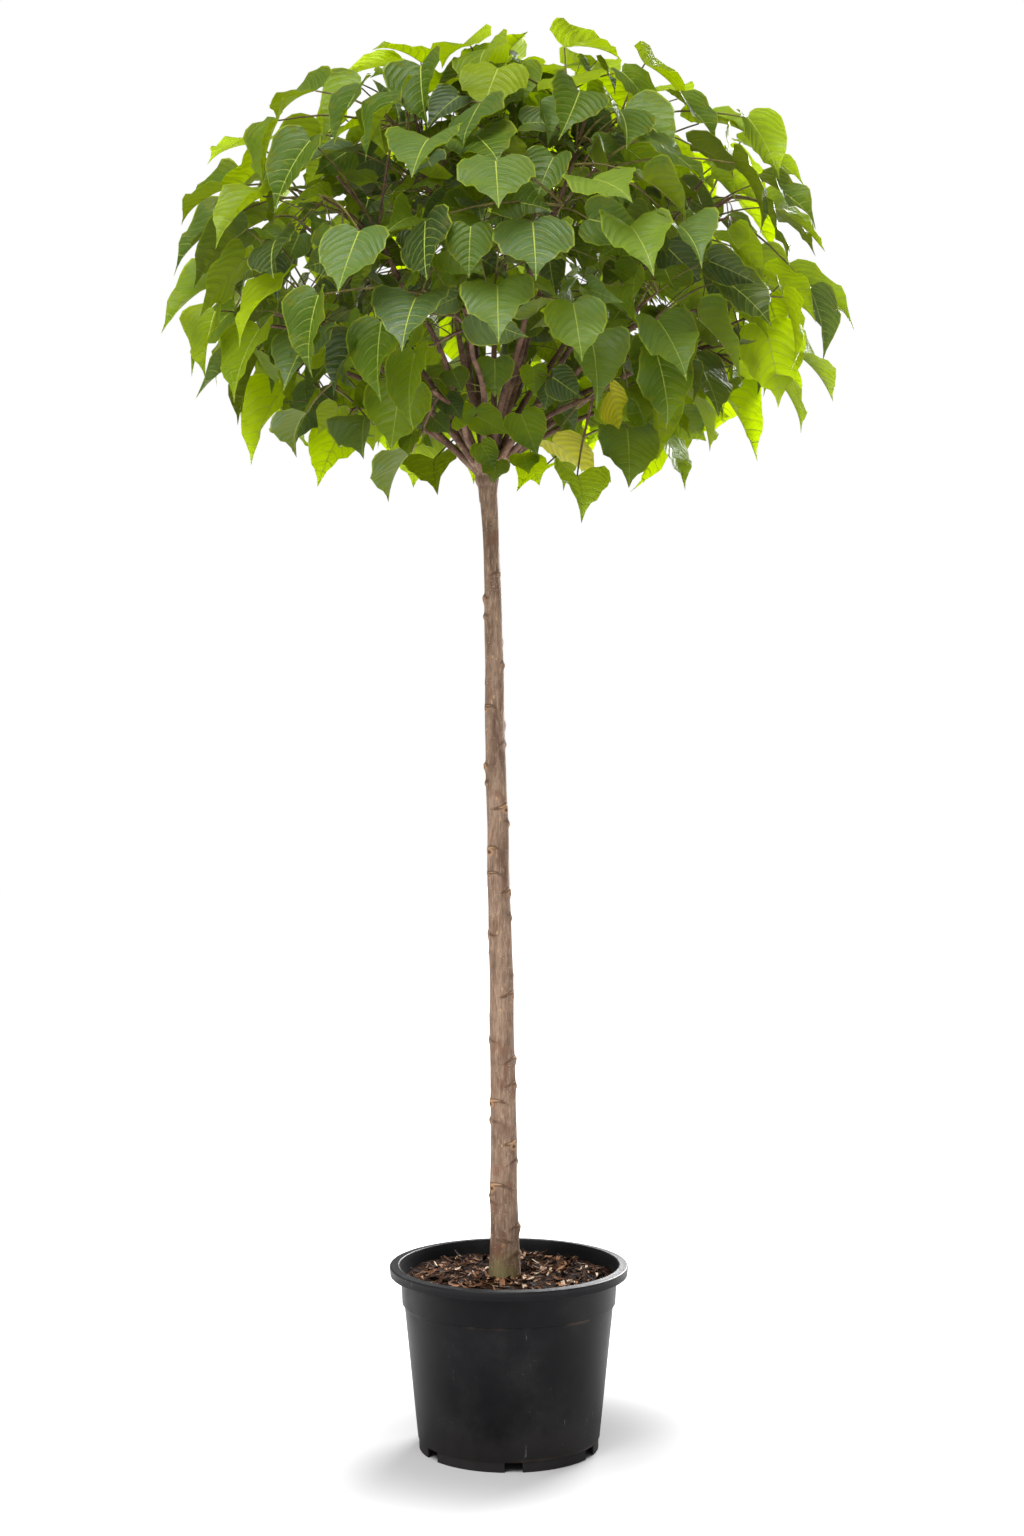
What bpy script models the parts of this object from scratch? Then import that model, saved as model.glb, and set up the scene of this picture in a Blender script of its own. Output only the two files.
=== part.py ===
"""A potted catalpa: a round head of heart-shaped leaves grafted on a bare stem, in a black nursery pot.

Metres, +Z up. The origin is on the floor under the middle of the pot, and the viewer stands towards -Y.
The layout of limbs, stems, twigs and leaves is worked out first, and each piece is then modelled from it.
"""

import math
import random
from collections import namedtuple

import bmesh
import bpy
import numpy as np
from mathutils import Matrix, Vector
from mathutils.bvhtree import BVHTree

# Where pieces meet
GAP = 0.0003
# The turn between a plant's repeats that spreads them evenly
GOLDEN_ANGLE = math.pi * (3 - math.sqrt(5))

# Pot
POT_SIDES = 36
POT_HEIGHT = 0.252
WALL = 0.0025
RIM_RADIUS = 0.165
RIM_HEIGHT = 0.014
RIM_ROUND = 0.0025
MOUTH_RADIUS = 0.1515
COLLAR_TOP_RADIUS = 0.1495
COLLAR_FOOT_RADIUS = 0.1475
COLLAR_FOOT_HEIGHT = 0.199
BODY_TOP_RADIUS = 0.1445
BODY_FOOT_RADIUS = 0.1257
FOOT_RADIUS = 0.124
FOOT_HEIGHT = 0.015
FLOOR_THICKNESS = 0.003
NOTCHES = 6
NOTCH_WIDTH = 0.0245
NOTCH_HEIGHT = 0.0132
NOTCH_DEPTH = 0.020
NOTCH_TURN = math.radians(3)

# Soil and its bark chips
SOIL_HEIGHT = 0.2355
SOIL_RELIEF = 0.0017
SOIL_RINGS = (0.0, 0.035, 0.070, 0.105)
CHIPS = 12
CHIP_SIZE = (0.026, 0.010, 0.003)
CHIP_RING = (0.036, 0.126)

# Trunk: height, sideways offset and radius at stations up the stem
TRUNK_SIDES = 12
TRUNK = (
    (0.165, -0.0055, 0.0225),
    (0.234, -0.0059, 0.0225),
    (0.289, -0.0061, 0.0200),
    (0.454, -0.0076, 0.0180),
    (0.644, -0.0106, 0.0165),
    (0.859, -0.0159, 0.0147),
    (1.032, -0.0199, 0.0133),
    (1.162, -0.0216, 0.0120),
    (1.240, -0.0242, 0.0110),
    (1.305, -0.0280, 0.0122),
    (1.336, -0.0303, 0.0140),
)
HOLE_SIDES = 24
HOLE_PLAY = 0.0008
SCARS = 16
SCAR_FOOT = 0.300
SCAR_STEP = 0.058
SCAR_SIZE = (0.0085, 0.0035, 0.0075)
SCAR_SEAT = 0.93

# Graft head and the limbs that fan out of it
HEAD = Vector((-0.0303, 0.0, 1.338))
HEAD_RADIUS = 0.0175
LIMB_SIDES = 6
LIMB_FOOT_RADIUS = 0.0062
LIMB_END_RADIUS = 0.0045
LIMB_SHARE = 0.55
LIMB_ARCH = 0.055

# Leafy branches: how many, their reach and height, and the turn of the first
TIERS = (
    (5, 0.235, 1.435, math.radians(-118)),
    (8, 0.385, 1.520, math.radians(-98)),
    (6, 0.315, 1.715, math.radians(-75)),
    (4, 0.165, 1.820, math.radians(-50)),
    (1, 0.010, 1.850, 0.0),
)
STEM_END_RADIUS = 0.0030
TWIG_RADIUS = 0.0027
TWIGS = 3
BARE_START = 0.028
STEM_SIDES = 4

# Outline of the crown: height and radius that the leaf tips reach
CROWN = (
    (1.328, 0.220),
    (1.345, 0.280),
    (1.390, 0.360),
    (1.450, 0.450),
    (1.555, 0.480),
    (1.640, 0.464),
    (1.710, 0.420),
    (1.755, 0.345),
    (1.803, 0.265),
    (1.856, 0.190),
    (1.890, 0.110),
    (1.906, 0.030),
)

# Leaves
SEED = 11
LEAF_LENGTH = 0.102
BLADE = 0.0008
PETIOLE = 0.0030
PETIOLE_WIDTH = 0.0024
PETIOLE_LENGTHS = (0.016, 0.190)
# How a petiole may run into its blade: this much ahead at least, and this much across it at most
LEAST_AHEAD = 0.0
MOST_ASIDE = 0.75
RULE_LEAVES = 176
FIRST_TURN = 0.4
TIP_PLAY = 0.045
SPACING = 0.062
EDGE_DEPTH = 0.045
BLADE_MIDDLE = 0.57
TRIES = 80
CLEARANCE = 0.0012
MIDRIB = 0.42
# Half outline of a blade, in leaf lengths along and across: notch, lobe, widest, root of the drip tip
HALF_OUTLINE = ((0.0, 0.020), (-0.11, 0.22), (0.18, 0.47), (0.64, 0.27))
Form = namedtuple("Form", "fold arch wave twist")
FORMS = (
    Form(fold=0.14, arch=0.10, wave=0.05, twist=0.0),
    Form(fold=0.34, arch=0.28, wave=0.07, twist=0.15),
    Form(fold=0.52, arch=0.30, wave=0.05, twist=-0.10),
    Form(fold=0.38, arch=0.22, wave=0.12, twist=0.50),
)
# The forms of the leaves on the outline, and how far an arch leans the line from a blade's middle to its tip
EDGE_FORMS = (2, 1)
CHORD_LEAN = 1.43

# The photograph: how far the viewer stands, the focal length in pixels, the eye height and its pixel row
VIEW_DISTANCE = 3.6
FOCAL = 2600.0
EYE_HEIGHT = 1.083
HORIZON_ROW = 663.0
MIDDLE_COLUMN = 508.9
# The window on the bare limbs over the graft, in pixels: left, right, top, foot, and the depth it reaches to
LIMB_WINDOW = (418, 600, 335, 500)
WINDOW_DEPTH = -0.05
# Leaves read off the photograph, as the pixels of the blade's middle and of its tip
FRONT_LEAVES = (
    (497, 172, 499, 206),
    (498, 303, 499, 342),
    (594, 363, 598, 405),
    (643, 238, 655, 273),
    (348, 252, 338, 292),
    (408, 313, 402, 350),
    (297, 353, 284, 391),
    (361, 428, 363, 457),
    (622, 450, 629, 486),
    (674, 452, 685, 491),
    (582, 488, 583, 517),
    (612, 178, 633, 200),
    (535, 238, 537, 275),
    (420, 145, 412, 178),
    (690, 230, 703, 262),
    (680, 340, 690, 378),
)
OUTLINE_LEAVES = (
    (600, 64, 620, 79),
    (667, 88, 690, 110),
    (725, 118, 750, 135),
    (773, 158, 808, 187),
    (797, 228, 825, 253),
    (822, 295, 857, 325),
    (812, 375, 833, 402),
    (788, 400, 803, 432),
    (740, 420, 757, 462),
    (700, 420, 710, 452),
    (395, 68, 370, 76),
    (360, 68, 330, 82),
    (297, 108, 275, 121),
    (232, 142, 207, 161),
    (207, 205, 180, 223),
    (205, 235, 171, 272),
    (195, 295, 160, 333),
    (210, 335, 188, 372),
    (230, 362, 194, 398),
    (265, 420, 250, 465),
    (300, 430, 293, 452),
    (330, 452, 316, 488),
    (398, 475, 388, 502),
    (430, 468, 437, 492),
    (532, 470, 517, 490),
    (592, 460, 600, 483),
)

Wish = namedtuple("Wish", "tip along face length form firm")
Leaf = namedtuple("Leaf", "root base along across face length form")
Solid = namedtuple("Solid", "tree middle reach owner")


# The layout: crown shape and the leaves that are wanted


def crown_radius(height):
    """How far the leaf tips reach from the middle at this height."""
    heights, radii = zip(*CROWN)
    return float(np.interp(height, heights, radii))


def pitch_at(height):
    """How steeply a leaf hangs at this height: almost level at the top and upright at the foot."""
    heights = (1.30, 1.42, 1.56, 1.72, 1.83, 1.91)
    degrees = (80, 58, 44, 36, 28, 18)
    return math.radians(float(np.interp(height, heights, degrees)))


def seen_at(column, row, depth):
    """The point that the photograph shows at this pixel, at this depth behind the pot's middle."""
    scale = (VIEW_DISTANCE + depth) / FOCAL
    across = (column - MIDDLE_COLUMN) * scale
    height = EYE_HEIGHT + (HORIZON_ROW - row) * scale
    return Vector((across, depth, height))


def front_depth(column, row):
    """The depth of the crown's near side at this pixel."""
    depth = -0.3
    for _ in range(4):
        point = seen_at(column, row, depth)
        square = crown_radius(point.z) ** 2 - point.x**2
        depth = -math.sqrt(max(square, 0.0))
    return depth


def square_to(vector, along):
    """The part of a vector that is square to a direction, as a unit vector."""
    return (vector - along * vector.dot(along)).normalized()


def shown_leaf(pixels, depth, index, edge):
    """A leaf that the photograph shows, turned so that its middle and its tip are seen in their places."""
    middle = seen_at(pixels[0], pixels[1], depth)
    tip = seen_at(pixels[2], pixels[3], depth)
    flat = tip - middle
    length = LEAF_LENGTH * max(1.0, min(flat.length / (BLADE_MIDDLE * LEAF_LENGTH), 1.12))
    towards = math.sqrt(max((BLADE_MIDDLE * length) ** 2 - flat.length**2, 0.0))
    outward = Vector((tip.x, tip.y, 0)).normalized()
    if edge:
        towards = math.copysign(towards, math.cos(2.4 * index))
        upward = outward * 0.3 + Vector((0, -0.55, 1))
        form = EDGE_FORMS[index % len(EDGE_FORMS)]
    else:
        upward = outward * 0.8 + Vector((0, -0.35, 1))
        form = index % len(FORMS)
    chord = Vector((flat.x, -towards, flat.z)).normalized()
    lean = math.atan(CHORD_LEAN * FORMS[form].arch)
    along = chord * math.cos(lean) + square_to(upward, chord) * math.sin(lean)
    return Wish(tip, along, square_to(upward, along), length, form, 0.2)


def base_of(wish):
    """Where the petiole of a wished leaf meets its blade, with the arch of its form taken off."""
    return wish.tip - (wish.along - wish.face * FORMS[wish.form].arch) * wish.length


def shown_leaves():
    """Every leaf read off the photograph, near ones first."""
    near = [shown_leaf(p, front_depth(p[2], p[3]), i, False) for i, p in enumerate(FRONT_LEAVES)]
    edge = [shown_leaf(p, EDGE_DEPTH * math.cos(2.4 * i), i, True) for i, p in enumerate(OUTLINE_LEAVES)]
    return near + edge


def crown_slices():
    """Heights up the crown with the share of its surface that lies below each."""
    heights = np.linspace(CROWN[0][0], CROWN[-1][0], 200)
    radii = np.array([crown_radius(h) for h in heights])
    steps = np.hypot(np.diff(heights), np.diff(radii)) * (radii[1:] + radii[:-1])
    shares = np.concatenate(([0.0], np.cumsum(steps)))
    return heights, shares / shares[-1]


def ruled_leaves(count, chance):
    """Leaves spread evenly over the crown by the golden angle, each with a little play in how it hangs."""
    heights, shares = crown_slices()
    wishes = []
    for i in range(count):
        height = float(np.interp((i + 0.5) / count, shares, heights))
        azimuth = i * GOLDEN_ANGLE + FIRST_TURN + chance.uniform(-0.10, 0.10)
        radius = max(crown_radius(height) - chance.uniform(0.0, TIP_PLAY), 0.02)
        outward = Vector((math.cos(azimuth), math.sin(azimuth), 0))
        tip = outward * radius + Vector((0, 0, height))
        pitch = pitch_at(height) + chance.uniform(-0.30, 0.30)
        yaw = chance.uniform(-0.60, 0.60)
        heading = Matrix.Rotation(yaw, 3, "Z") @ outward
        along = heading * math.cos(pitch) - Vector((0, 0, math.sin(pitch)))
        face = square_to(heading * math.sin(pitch) + Vector((0, 0, math.cos(pitch))), along)
        face = Matrix.Rotation(chance.uniform(-0.60, 0.60), 3, along) @ face
        length = LEAF_LENGTH * chance.uniform(0.84, 1.06)
        wishes.append(Wish(tip, along, face, length, chance.randrange(len(FORMS)), 1.0))
    return wishes


def middle_of(wish):
    return wish.tip.lerp(base_of(wish), 0.5)


def hides_limbs(wish):
    """Whether a leaf would hide the bare limbs that the photograph shows over the graft."""
    point = middle_of(wish)
    scale = FOCAL / (VIEW_DISTANCE + point.y)
    column = MIDDLE_COLUMN + point.x * scale
    row = HORIZON_ROW - (point.z - EYE_HEIGHT) * scale
    left, right, top, foot = LIMB_WINDOW
    return point.y < WINDOW_DEPTH and left < column < right and top < row < foot


def thinned(wishes, kept):
    """The wishes that lie clear of those already kept and of the window on the limbs."""
    taken = [middle_of(w) for w in kept]
    free = [w for w in wishes if all((middle_of(w) - t).length > SPACING for t in taken)]
    return [w for w in free if not hides_limbs(w)]


# The layout: limbs, stems and twigs


def branch_targets():
    """The point that each leafy branch grows towards, tier by tier."""
    targets = []
    for count, radius, height, turn in TIERS:
        for i in range(count):
            angle = turn + math.tau * i / count
            targets.append(Vector((radius * math.cos(angle), radius * math.sin(angle), height)))
    return targets


def limb_path(target):
    """A limb from inside the graft head, arching up and out to where its leafy stem begins."""
    reach = target - HEAD
    level = Vector((reach.x, reach.y, 0))
    arch = LIMB_ARCH * level.length / 0.4
    foot = HEAD + reach.normalized() * 0.004
    points = [foot]
    for share in (0.33, 0.66, 1.0):
        rise = arch * math.sin(math.pi * share * LIMB_SHARE)
        points.append(HEAD + reach * (share * LIMB_SHARE) + Vector((0, 0, rise)))
    return points


def stem_path(limb, target):
    """The leafy stem, which goes on from the limb's end in line with it and bends to the target."""
    heading = (limb[-1] - limb[-2]).normalized()
    start = limb[-1] + heading * GAP
    straight = start + heading * 0.025
    return [start, straight, straight.lerp(target, 0.5) + Vector((0, 0, 0.008)), target]


def point_on(path, way):
    """The point of a path this way along it."""
    for a, b in zip(path, path[1:]):
        step = (b - a).length
        if way <= step:
            return a.lerp(b, way / step)
        way -= step
    return path[-1]


def nearest_way(path, point):
    """How far along a path the point lies that is nearest to a point."""
    best = 0.0
    passed = 0.0
    for a, b in zip(path, path[1:]):
        share = max(0.0, min(1.0, (point - a).dot(b - a) / (b - a).length_squared))
        way = passed + share * (b - a).length
        if (point_on(path, way) - point).length < (point_on(path, best) - point).length:
            best = way
        passed += (b - a).length
    return best


def distance_to(path, point):
    return (point_on(path, nearest_way(path, point)) - point).length


def twig_paths(stem, bases, count):
    """Twigs that leave the stem for the leaves round it, one for each sector that holds some."""
    axis = (stem[-1] - stem[1]).normalized()
    side = square_to(Vector((0.3, 0.2, 1.0)), axis)
    other = axis.cross(side)
    sectors = [[] for _ in range(count)]
    for base in bases:
        offset = base - point_on(stem, nearest_way(stem, base))
        turn = math.atan2(offset.dot(other), offset.dot(side)) % math.tau
        sectors[int(turn / math.tau * count) % count].append(base)
    twigs = []
    for i, members in enumerate(sectors):
        if not members:
            continue
        centre = sum(members, Vector()) / len(members)
        root = stem[1].lerp(stem[2], 0.35 + 0.5 * i / count)
        end = root.lerp(centre, 0.66)
        if (end - root).length > 0.035:
            twigs.append([root, end])
    return twigs


# The layout: what keeps clear of what


def leaf_sheet(leaf):
    """The points of a leaf with its petiole, and the triangles between them."""
    frame = Matrix((leaf.along, leaf.across, leaf.face)).transposed()
    form = FORMS[leaf.form]

    def placed(u, v):
        """A point of the blade: folded along the midrib, arched to the tip, waved at the edge and twisted."""
        lift = abs(v) * (math.sin(form.fold) + form.wave * math.sin(9 * u + (1.4 if v > 0 else 0.2)))
        flat = Matrix.Rotation(form.twist * max(u, 0.0), 3, "X") @ Vector((u, v * math.cos(form.fold), lift))
        flat.z -= form.arch * u * u
        return leaf.base + frame @ flat * leaf.length

    stalk = (leaf.base - leaf.root).normalized()
    edge = stalk.cross(square_to(leaf.face, stalk)) * PETIOLE_WIDTH / 2
    points = [leaf.root - edge, leaf.root + edge, placed(1.0, 0.0), placed(MIDRIB, 0.0)]
    last = len(HALF_OUTLINE) - 1
    left = [len(points) + i for i in range(last + 1)]
    points += [placed(u, v) for u, v in HALF_OUTLINE]
    right = [len(points) + i for i in range(last + 1)]
    points += [placed(u, -v) for u, v in HALF_OUTLINE]
    near, far = (left, right) if edge.dot(leaf.across) < 0 else (right, left)
    triangles = [(0, 1, far[0]), (0, far[0], near[0]), (3, near[0], far[0])]
    for i in range(last):
        triangles += [(3, near[i + 1], near[i]), (3, far[i], far[i + 1])]
    triangles += [(3, 2, near[last]), (3, far[last], 2)]
    return points, triangles


def thick_tree(points, triangles, half):
    """A search tree of a sheet thickened to both sides."""
    places = np.array([tuple(p) for p in points])
    faces = np.array(triangles)
    normals = np.cross(places[faces[:, 1]] - places[faces[:, 0]], places[faces[:, 2]] - places[faces[:, 0]])
    spread = np.zeros_like(places)
    for corner in range(3):
        np.add.at(spread, faces[:, corner], normals)
    spread /= np.maximum(np.linalg.norm(spread, axis=1), 1e-9)[:, None]
    both = np.vstack((places + spread * half, places - spread * half))
    count = len(places)
    edges = {}
    for a, b, c in triangles:
        for pair in ((a, b), (b, c), (c, a)):
            edges[tuple(sorted(pair))] = edges.get(tuple(sorted(pair)), 0) + 1
    polygons = list(triangles) + [tuple(i + count for i in t) for t in triangles]
    polygons += [(a, b, b + count, a + count) for (a, b), uses in edges.items() if uses == 1]
    return BVHTree.FromPolygons([tuple(p) for p in both], polygons)


def tube_tree(path, radius):
    """A search tree of a four-sided tube round a path."""
    points = []
    polygons = []
    for i, point in enumerate(path):
        heading = (path[min(i + 1, len(path) - 1)] - path[max(i - 1, 0)]).normalized()
        side = square_to(Vector((0.31, 0.22, 0.92)), heading)
        other = heading.cross(side)
        points += [point + out * radius for out in (side, other, -side, -other)]
        if i:
            last = 4 * i - 4
            polygons += [(last + k, last + (k + 1) % 4, 4 * i + (k + 1) % 4, 4 * i + k) for k in range(4)]
    return BVHTree.FromPolygons(points, polygons)


def leaf_solids(leaf, owner):
    """A leaf with its petiole and the blade alone, as solids to test."""
    points, triangles = leaf_sheet(leaf)
    middle = sum(points, Vector()) / len(points)
    reach = max((p - middle).length for p in points)
    half = BLADE / 2 + CLEARANCE
    whole = Solid(thick_tree(points, triangles, half), middle, reach, owner)
    of_blade = [tuple(i - 2 for i in t) for t in triangles[2:]]
    blade = Solid(thick_tree(points[2:], of_blade, half), middle, reach, owner)
    return whole, blade


def tube_solid(path, radius, owner):
    middle = sum(path, Vector()) / len(path)
    reach = max((p - middle).length for p in path)
    return Solid(tube_tree(path, radius * 1.2 + CLEARANCE), middle, reach, owner)


def meets(solid, others):
    """Whether a solid meets any of the others."""
    for other in others:
        if (solid.middle - other.middle).length < solid.reach + other.reach + 0.01:
            if solid.tree.overlap(other.tree):
                return True
    return False


# The layout as a whole


class Branch:
    """One leafy branch: the limb that carries it, its stem, its twigs and its leaves."""

    def __init__(self, index, target):
        self.name = f"branch_{index + 1:02d}"
        self.limb = limb_path(target)
        self.stem = stem_path(self.limb, target)
        self.twigs = []
        self.leaves = []

    def root_for(self, base, slip):
        """Where on the stem or a twig a leaf's petiole starts: near the leaf, slipped back by this much."""
        path = min([self.stem] + self.twigs, key=lambda p: distance_to(p, base))
        way = nearest_way(path, base) * (1 - slip)
        return point_on(path, max(way, BARE_START))


def varied(wish, attempt, chance):
    """The wish as it stands, or with more play in its place and turn at each further attempt."""
    if attempt == 0:
        return wish
    play = attempt / TRIES
    along = Matrix.Rotation(chance.uniform(-0.8, 0.8) * play, 3, wish.face) @ wish.along
    along = Matrix.Rotation(chance.uniform(-0.5, 0.5) * play, 3, wish.face.cross(along)) @ along
    face = Matrix.Rotation(chance.uniform(-0.9, 0.9) * play, 3, along) @ square_to(wish.face, along)
    outward = Vector((wish.tip.x, wish.tip.y, 0)).normalized()
    sideways = outward.cross(Vector((0, 0, 1)))
    slack = play * wish.firm
    inward = chance.uniform(0, 0.05) * slack
    aside = chance.uniform(-0.05, 0.05) * slack
    tip = wish.tip - outward * inward + sideways * aside
    tip.z += chance.uniform(-0.04, 0.03) * slack
    return wish._replace(tip=tip, along=along, face=face, length=wish.length * (1 - 0.15 * play))


def fitted_leaf(branch, wish, slip):
    """The leaf for a wish with its petiole on the branch, or None if that is too long or bent too far."""
    base = base_of(wish)
    root = branch.root_for(base, slip)
    stalk = base - root
    across = wish.face.cross(wish.along)
    shortest, longest = PETIOLE_LENGTHS
    if not shortest < stalk.length < longest:
        return None
    heading = stalk.normalized()
    if heading.dot(wish.along) < LEAST_AHEAD or abs(heading.dot(across)) > MOST_ASIDE:
        return None
    return Leaf(root, base, wish.along, across, wish.face, wish.length, wish.form)


def place_leaf(homes, wish, solids, chance):
    """Grow a leaf on one of the branches at hand where it meets nothing but the stem that carries it."""
    for attempt in range(TRIES):
        branch = homes[attempt % len(homes)]
        slip = 0.0 if attempt < 2 else chance.random()
        leaf = fitted_leaf(branch, varied(wish, attempt, chance), slip)
        if leaf is None:
            continue
        whole, blade = leaf_solids(leaf, branch.name + " leaf")
        stems = [s for s in solids if s.owner == branch.name]
        others = [s for s in solids if s.owner != branch.name]
        if not meets(whole, others) and not meets(blade, stems):
            branch.leaves.append(leaf)
            solids.append(whole)
            return


def lay_out():
    """Every leafy branch with its twigs and leaves."""
    chance = random.Random(SEED)
    branches = [Branch(i, target) for i, target in enumerate(branch_targets())]
    shown = shown_leaves()
    wishes = shown + thinned(ruled_leaves(RULE_LEAVES, chance), shown)
    homes = []
    for wish in wishes:
        homes.append(sorted(branches, key=lambda b: distance_to(b.stem, base_of(wish)))[:2])
    solids = [tube_solid([Vector((x, 0, z)) for z, x, _ in TRUNK], 0.018, "trunk")]
    for branch in branches:
        solids.append(tube_solid(branch.limb[1:], LIMB_FOOT_RADIUS, "trunk"))
        solids.append(tube_solid(branch.stem[1:], LIMB_END_RADIUS, branch.name))
    for branch in branches:
        bases = [base_of(w) for w, near in zip(wishes, homes) if near[0] is branch]
        for path in twig_paths(branch.stem, bases, TWIGS):
            twig = tube_solid(path, TWIG_RADIUS, branch.name)
            if not meets(twig, [s for s in solids if s.owner != branch.name]):
                branch.twigs.append(path)
                solids.append(twig)
    for wish, near in zip(wishes, homes):
        place_leaf(near, wish, solids, chance)
    return branches


# Modelling helpers


def clear_scene():
    for thing in list(bpy.data.objects):
        bpy.data.objects.remove(thing, do_unlink=True)


def new_collection(name):
    collection = bpy.data.collections.new(name)
    bpy.context.scene.collection.children.link(collection)
    return collection


def new_material(name, colour, roughness):
    """A plain material in linear colour."""
    material = bpy.data.materials.new(name)
    material.use_nodes = True
    shader = material.node_tree.nodes["Principled BSDF"]
    shader.inputs["Base Color"].default_value = (*colour, 1.0)
    shader.inputs["Roughness"].default_value = roughness
    return material


def new_object(name, data, collection):
    made = bpy.data.objects.new(name, data)
    collection.objects.link(made)
    return made


def named_primitive(name, collection):
    """The primitive that was just added, under its own name and in its own collection."""
    made = bpy.context.object
    made.name = name
    bpy.context.collection.objects.unlink(made)
    collection.objects.link(made)
    return made


def weld(mesh):
    """Close the loose caps of a curve's mesh."""
    work = bmesh.new()
    work.from_mesh(mesh)
    bmesh.ops.remove_doubles(work, verts=work.verts, dist=1e-6)
    work.to_mesh(mesh)
    work.free()


def as_mesh(source, name, collection):
    """A plain mesh object of what a modified object or a curve shows. The first is removed."""
    bpy.context.view_layer.update()
    mesh = bpy.data.meshes.new_from_object(source.evaluated_get(bpy.context.evaluated_depsgraph_get()))
    made = new_object(name, mesh, collection)
    made.matrix_world = source.matrix_world.copy()
    bpy.data.objects.remove(source, do_unlink=True)
    mesh.name = name
    return made


def tube(name, points, radii, sides, collection):
    """A tapered tube with filled ends along a path."""
    curve = bpy.data.curves.new(name, "CURVE")
    curve.dimensions = "3D"
    curve.bevel_depth = 1.0
    curve.bevel_resolution = (sides - 4) // 2
    curve.use_fill_caps = True
    spline = curve.splines.new("POLY")
    spline.points.add(len(points) - 1)
    for target, point, radius in zip(spline.points, points, radii):
        target.co = (*point, 1.0)
        target.radius = radius
    made = as_mesh(new_object(name + " path", curve, collection), name, collection)
    weld(made.data)
    return made


def drop_scraps(mesh):
    """Keep the largest body of a mesh, and drop any loose crumb that a union left."""
    work = bmesh.new()
    work.from_mesh(mesh)
    bmesh.ops.triangulate(work, faces=work.faces[:])
    left = set(work.faces)
    bodies = []
    while left:
        body = set()
        reached = [left.pop()]
        while reached:
            face = reached.pop()
            body.add(face)
            for edge in face.edges:
                found = [f for f in edge.link_faces if f in left]
                left.difference_update(found)
                reached += found
        bodies.append(body)
    largest = max(bodies, key=len)
    crumbs = [face for face in work.faces if face not in largest]
    bmesh.ops.delete(work, geom=crumbs, context="FACES")
    work.to_mesh(mesh)
    work.free()


def fused(body, pieces, name, collection, solver="EXACT"):
    """One object of a body and a collection of pieces, joined by one union."""
    union = body.modifiers.new("union of repeats", "BOOLEAN")
    union.operation = "UNION"
    union.operand_type = "COLLECTION"
    union.collection = pieces
    union.solver = solver
    made = as_mesh(body, name, collection)
    drop_scraps(made.data)
    for piece in list(pieces.objects):
        bpy.data.objects.remove(piece, do_unlink=True)
    bpy.data.collections.remove(pieces)
    return made


def cut(body, cutter):
    """Take a cutter out of a body."""
    cutter.hide_render = True
    cutter.display_type = "WIRE"
    difference = body.modifiers.new("cut by " + cutter.name, "BOOLEAN")
    difference.operation = "DIFFERENCE"
    difference.solver = "EXACT"
    difference.object = cutter


def turned(name, profile, collection):
    """A turned body from a profile that runs from the axis, up the inside and down the outer side."""
    mesh = bpy.data.meshes.new(name)
    mesh.from_pydata([(r, 0.0, z) for r, z in profile], [(i, i + 1) for i in range(len(profile) - 1)], [])
    made = new_object(name, mesh, collection)
    screw = made.modifiers.new("turn", "SCREW")
    screw.steps = POT_SIDES
    screw.render_steps = POT_SIDES
    screw.use_merge_vertices = True
    screw.merge_threshold = 0.0001
    return made


def round_shading(thing, angle):
    thing.data.shade_smooth()
    thing.data.set_sharp_from_angle(angle=angle)


# The pot


def body_radius(height):
    """The pot's outer radius below the collar."""
    share = (height - FOOT_HEIGHT) / (COLLAR_FOOT_HEIGHT - FOOT_HEIGHT)
    return BODY_FOOT_RADIUS + (BODY_TOP_RADIUS - BODY_FOOT_RADIUS) * share


def inner_profile(clear):
    """The pot's inside, from the floor up to the mouth, moved in by a clearance."""
    floor = FOOT_HEIGHT + FLOOR_THICKNESS
    return [
        (body_radius(floor) - WALL - clear, floor + clear),
        (BODY_TOP_RADIUS - WALL - clear, COLLAR_FOOT_HEIGHT - 0.004),
        (COLLAR_FOOT_RADIUS - WALL - clear, COLLAR_FOOT_HEIGHT + 0.002),
        (COLLAR_TOP_RADIUS - WALL - clear, POT_HEIGHT - RIM_HEIGHT),
    ]


def outer_profile():
    """The pot's rim and outside, from the mouth down to the middle of the floor's underside."""
    rim_foot = POT_HEIGHT - RIM_HEIGHT
    return [
        (MOUTH_RADIUS - RIM_ROUND / 2, POT_HEIGHT - RIM_ROUND / 2),
        (MOUTH_RADIUS + RIM_ROUND / 2, POT_HEIGHT),
        (RIM_RADIUS - RIM_ROUND, POT_HEIGHT),
        (RIM_RADIUS, POT_HEIGHT - RIM_ROUND),
        (RIM_RADIUS - RIM_ROUND / 4, rim_foot),
        (COLLAR_TOP_RADIUS, rim_foot - 0.001),
        (COLLAR_FOOT_RADIUS, COLLAR_FOOT_HEIGHT),
        (BODY_TOP_RADIUS, COLLAR_FOOT_HEIGHT - 0.002),
        (BODY_FOOT_RADIUS, FOOT_HEIGHT + 0.001),
        (FOOT_RADIUS, FOOT_HEIGHT - 0.001),
        (FOOT_RADIUS, 0.0),
        (FOOT_RADIUS - WALL, 0.0),
        (FOOT_RADIUS - WALL, FOOT_HEIGHT),
        (0.0, FOOT_HEIGHT),
    ]


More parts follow.
